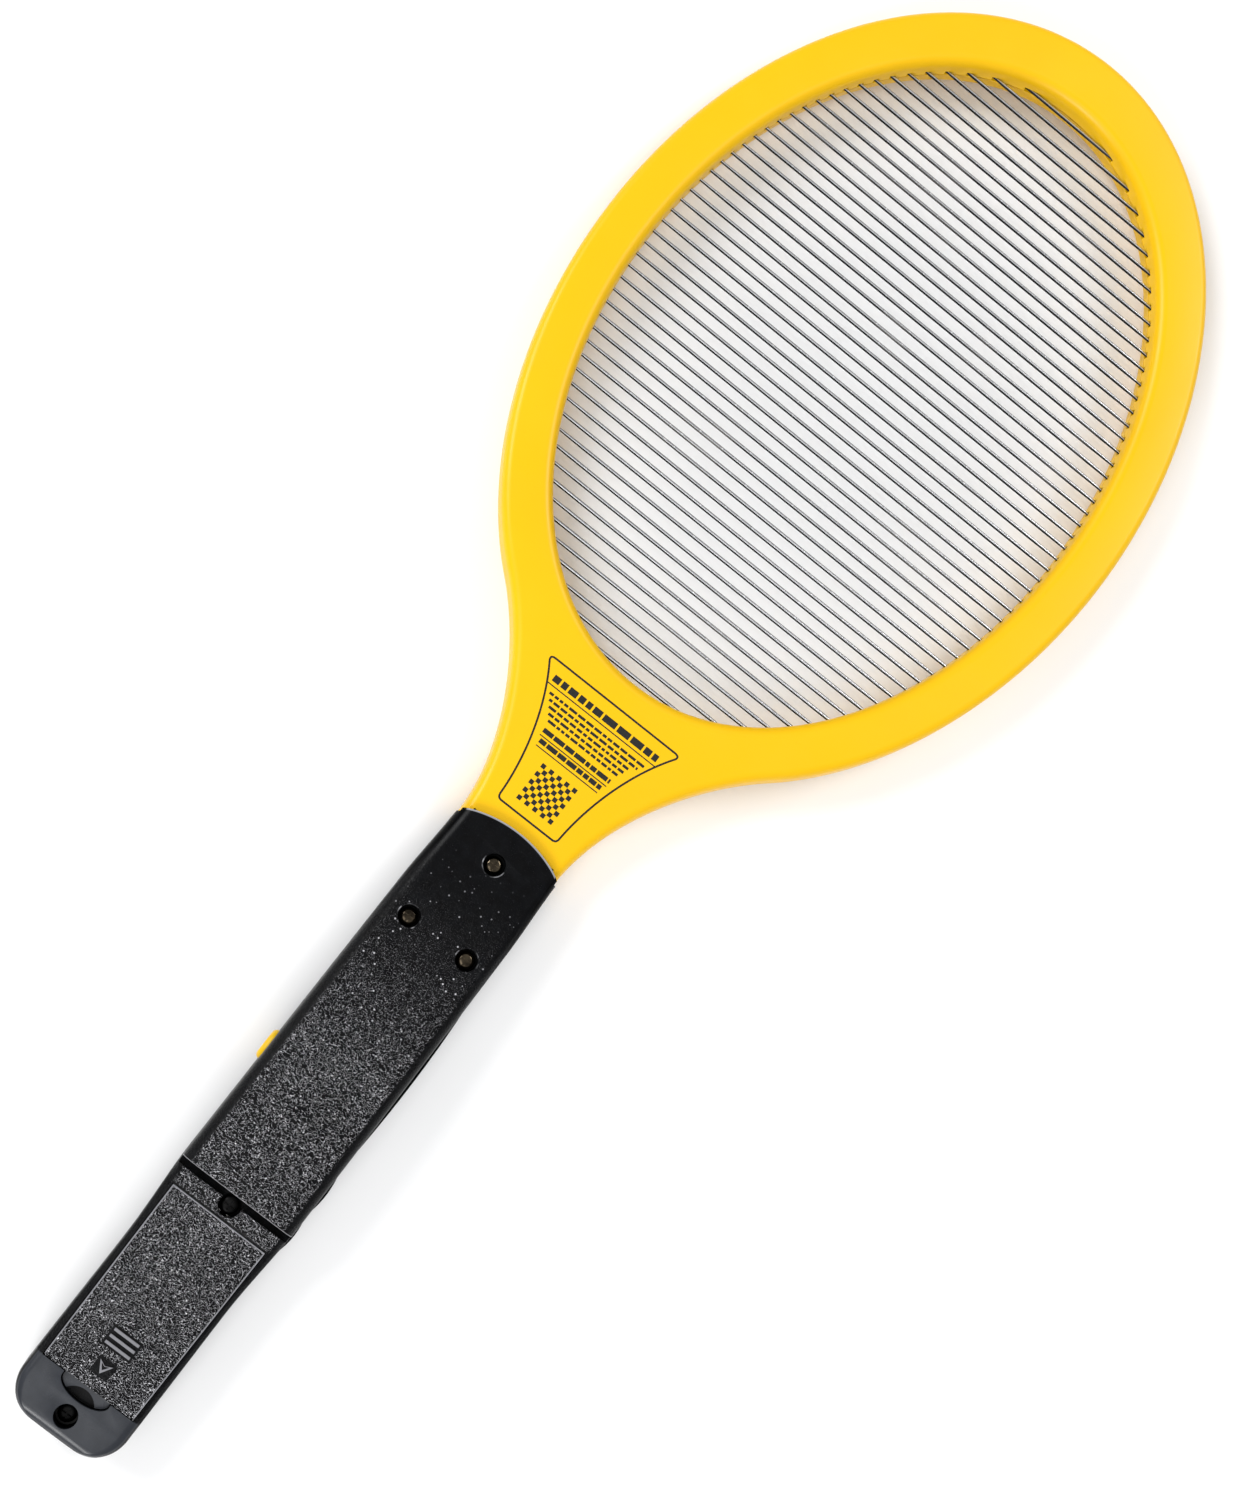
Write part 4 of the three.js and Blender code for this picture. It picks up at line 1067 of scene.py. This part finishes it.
# ---------------------------------------------------------------- build the pieces
back_frame = head_half("head_back_detail", 1)
carve(back_frame, rod_notches())
carve(back_frame, tang(), "UNION")
shade(back_frame, 50)
settle(back_frame, "swatter", ["head_back_frame"], LOOKS["yellow"])
front_frame = head_half("head_front_detail", -1)
settle(front_frame, "swatter", ["head_front_frame"], LOOKS["yellow"])
settle(neck_print(), "swatter", [], LOOKS["ink"])
settle(grid_comb("rods_positive", 1, 0), "swatter", ["grid_positive"], LOOKS["rod"])
settle(grid_comb("rods_negative", -1, 1), "swatter", ["grid_negative"], LOOKS["rod"])
settle(back_shell(), "swatter", ["handle_back_shell"], LOOKS["grain"])
settle(front_shell(), "swatter", ["handle_front_shell"], LOOKS["grain"])
settle(battery_door(), "door", ["battery_door"], LOOKS["door_grain"])
settle(power_button(), "button", ["power_button"], LOOKS["button"])
for number, place in SCREWS.items():
    look = LOOKS["screw" if number in NECK_SCREWS else "dark_screw"]
    settle(case_screw(number, *place), "swatter", [f"case_screw_{number}"], look)

# Colours of small parts: where the surface is light, and where it is dark.
BLACK_EPOXY = (0.02, 0.02, 0.02), (0.008, 0.008, 0.008)
RED_WIRE = (0.55, 0.02, 0.02), (0.42, 0.015, 0.015)
BLACK_WIRE = (0.03, 0.03, 0.032), (0.012, 0.012, 0.013)
FERRITE = (0.045, 0.045, 0.048), (0.018, 0.018, 0.02)
BROWN, BLACK, ORANGE, GOLD = (0.25, 0.1, 0.03), (0.01, 0.01, 0.01), (0.7, 0.2, 0.02), (0.6, 0.4, 0.1)
RED, VIOLET = (0.5, 0.02, 0.02), (0.15, 0.04, 0.4)

# CAD nodes that keep their shape and take a finished material.
NODE_LOOKS = {
    "switch_plunger": moulded("plunger_plastic", (0.75, 0.73, 0.68), (0.62, 0.60, 0.55)),
    "push_switch": moulded("switch_plastic", (0.06, 0.062, 0.068), (0.03, 0.031, 0.035)),
    "circuit_board": board_green(),
    "transformer_core": moulded("ferrite", *FERRITE, (0.45, 0.75), 700, 0.4),
    "transformer_winding": moulded("winding_tape", (0.72, 0.46, 0.07), (0.55, 0.33, 0.04), (0.25, 0.4), 300),
    "hv_capacitor": moulded("capacitor_dip", (0.36, 0.06, 0.02), (0.26, 0.035, 0.012), (0.15, 0.3), 260, 0.3),
    "transistor": moulded("epoxy_black", *BLACK_EPOXY, (0.4, 0.6), 900),
    "diode_1": moulded("diode_black_1", *BLACK_EPOXY, (0.35, 0.55), 900),
    "diode_2": moulded("diode_black_2", *BLACK_EPOXY, (0.35, 0.55), 900),
    "resistor_1": resistor_bands("resistor_1", [BROWN, BLACK, ORANGE, GOLD]),
    "resistor_2": resistor_bands("resistor_2", [RED, VIOLET, BROWN, GOLD]),
    "led_indicator": moulded("led_red", (0.70, 0.03, 0.02), (0.50, 0.02, 0.015), (0.05, 0.12), 300, 0.02,
                             Transmission_Weight=0.5),
    "grid_lead_positive": moulded("wire_red", *RED_WIRE),
    "grid_lead_negative": moulded("wire_black", *BLACK_WIRE),
    "battery_lead_positive": moulded("wire_red_short", *RED_WIRE),
    "battery_lead_negative": moulded("wire_black_short", *BLACK_WIRE),
    "contact_bridge": LOOKS["contact"],
    "contact_positive": LOOKS["contact"],
    "contact_negative": LOOKS["contact"],
}
for name, look in NODE_LOOKS.items():
    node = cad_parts[name]
    node.data.materials.clear()
    node.data.materials.append(look)


# ---------------------------------------------------------------- floor, lights, camera
def floor():
    bm = bmesh.new()
    half, below = 4, -0.2 * MM
    corners = ((-half, -half), (half, -half), (half, half), (-half, half))
    bm.faces.new([bm.verts.new((x, y, below)) for x, y in corners])
    plane = make_object("floor", bm)
    look = Look("pale_floor", Specular_IOR_Level=0.2)
    colour = look.ramp(look.noise(12, 3), [(0.3, (0.93, 0.93, 0.93)), (0.7, (0.96, 0.96, 0.96))])
    look.finish(colour, look.spread(look.noise(60, 3), 0.75, 0.9), look.bump(look.noise(500, 2), 0.04, 0.05))
    plane.data.materials.append(look.material)


def area_light(name, location, target, size, power):
    data = bpy.data.lights.new(name, "AREA")
    data.shape = "DISK"
    data.size = size
    data.energy = power
    lamp = bpy.data.objects.new(name, data)
    lamp.location = location
    lamp.rotation_euler = (Vector(target) - Vector(location)).to_track_quat("-Z", "Y").to_euler()
    bpy.context.scene.collection.objects.link(lamp)


def studio():
    """Dim surroundings and big soft lamps well off to the sides, so that black plastic stays black."""
    world = bpy.data.worlds.new("studio")
    world.use_nodes = True
    background = world.node_tree.nodes["Background"]
    background.inputs["Color"].default_value = (0.97, 0.98, 1.0, 1)
    background.inputs["Strength"].default_value = 0.42
    bpy.context.scene.world = world
    area_light("key", (0.9, 1.5, 1.6), (0, 0, 0), 1.0, 19)
    area_light("side", (-1.7, 0.1, 1.5), (0, 0, 0), 1.1, 27)
    area_light("near", (0.1, -1.9, 1.4), (0, 0, 0), 1.1, 29)
    area_light("overhead", (-0.1, -0.55, 1.5), (-0.05, -0.2, 0), 0.8, 2.5)


def camera():
    """Looks almost straight down on the back of the swatter, turned so that it lies on the diagonal."""
    location = Vector((-0.0287, -0.1341, 0.6021))
    target = Vector((0.01016, -0.01444, 0.0125))
    roll = math.radians(-56.05)
    lens, sensor = 48, 36
    forward = (target - location).normalized()
    level_up = (Vector((0, 0, 1)) - forward * forward.z).normalized()
    level_right = forward.cross(level_up)
    up = level_up * math.cos(roll) + level_right * math.sin(roll)
    right = forward.cross(up)
    data = bpy.data.cameras.new("camera")
    data.sensor_width = sensor
    data.lens = lens
    data.clip_start = 0.01
    obj = bpy.data.objects.new("camera", data)
    turn = Matrix((right, up, -forward)).transposed()
    obj.matrix_world = Matrix.Translation(location) @ turn.to_4x4()
    bpy.context.scene.collection.objects.link(obj)
    bpy.context.scene.camera = obj


floor()
studio()
camera()
bpy.context.scene.view_settings.view_transform = "Standard"
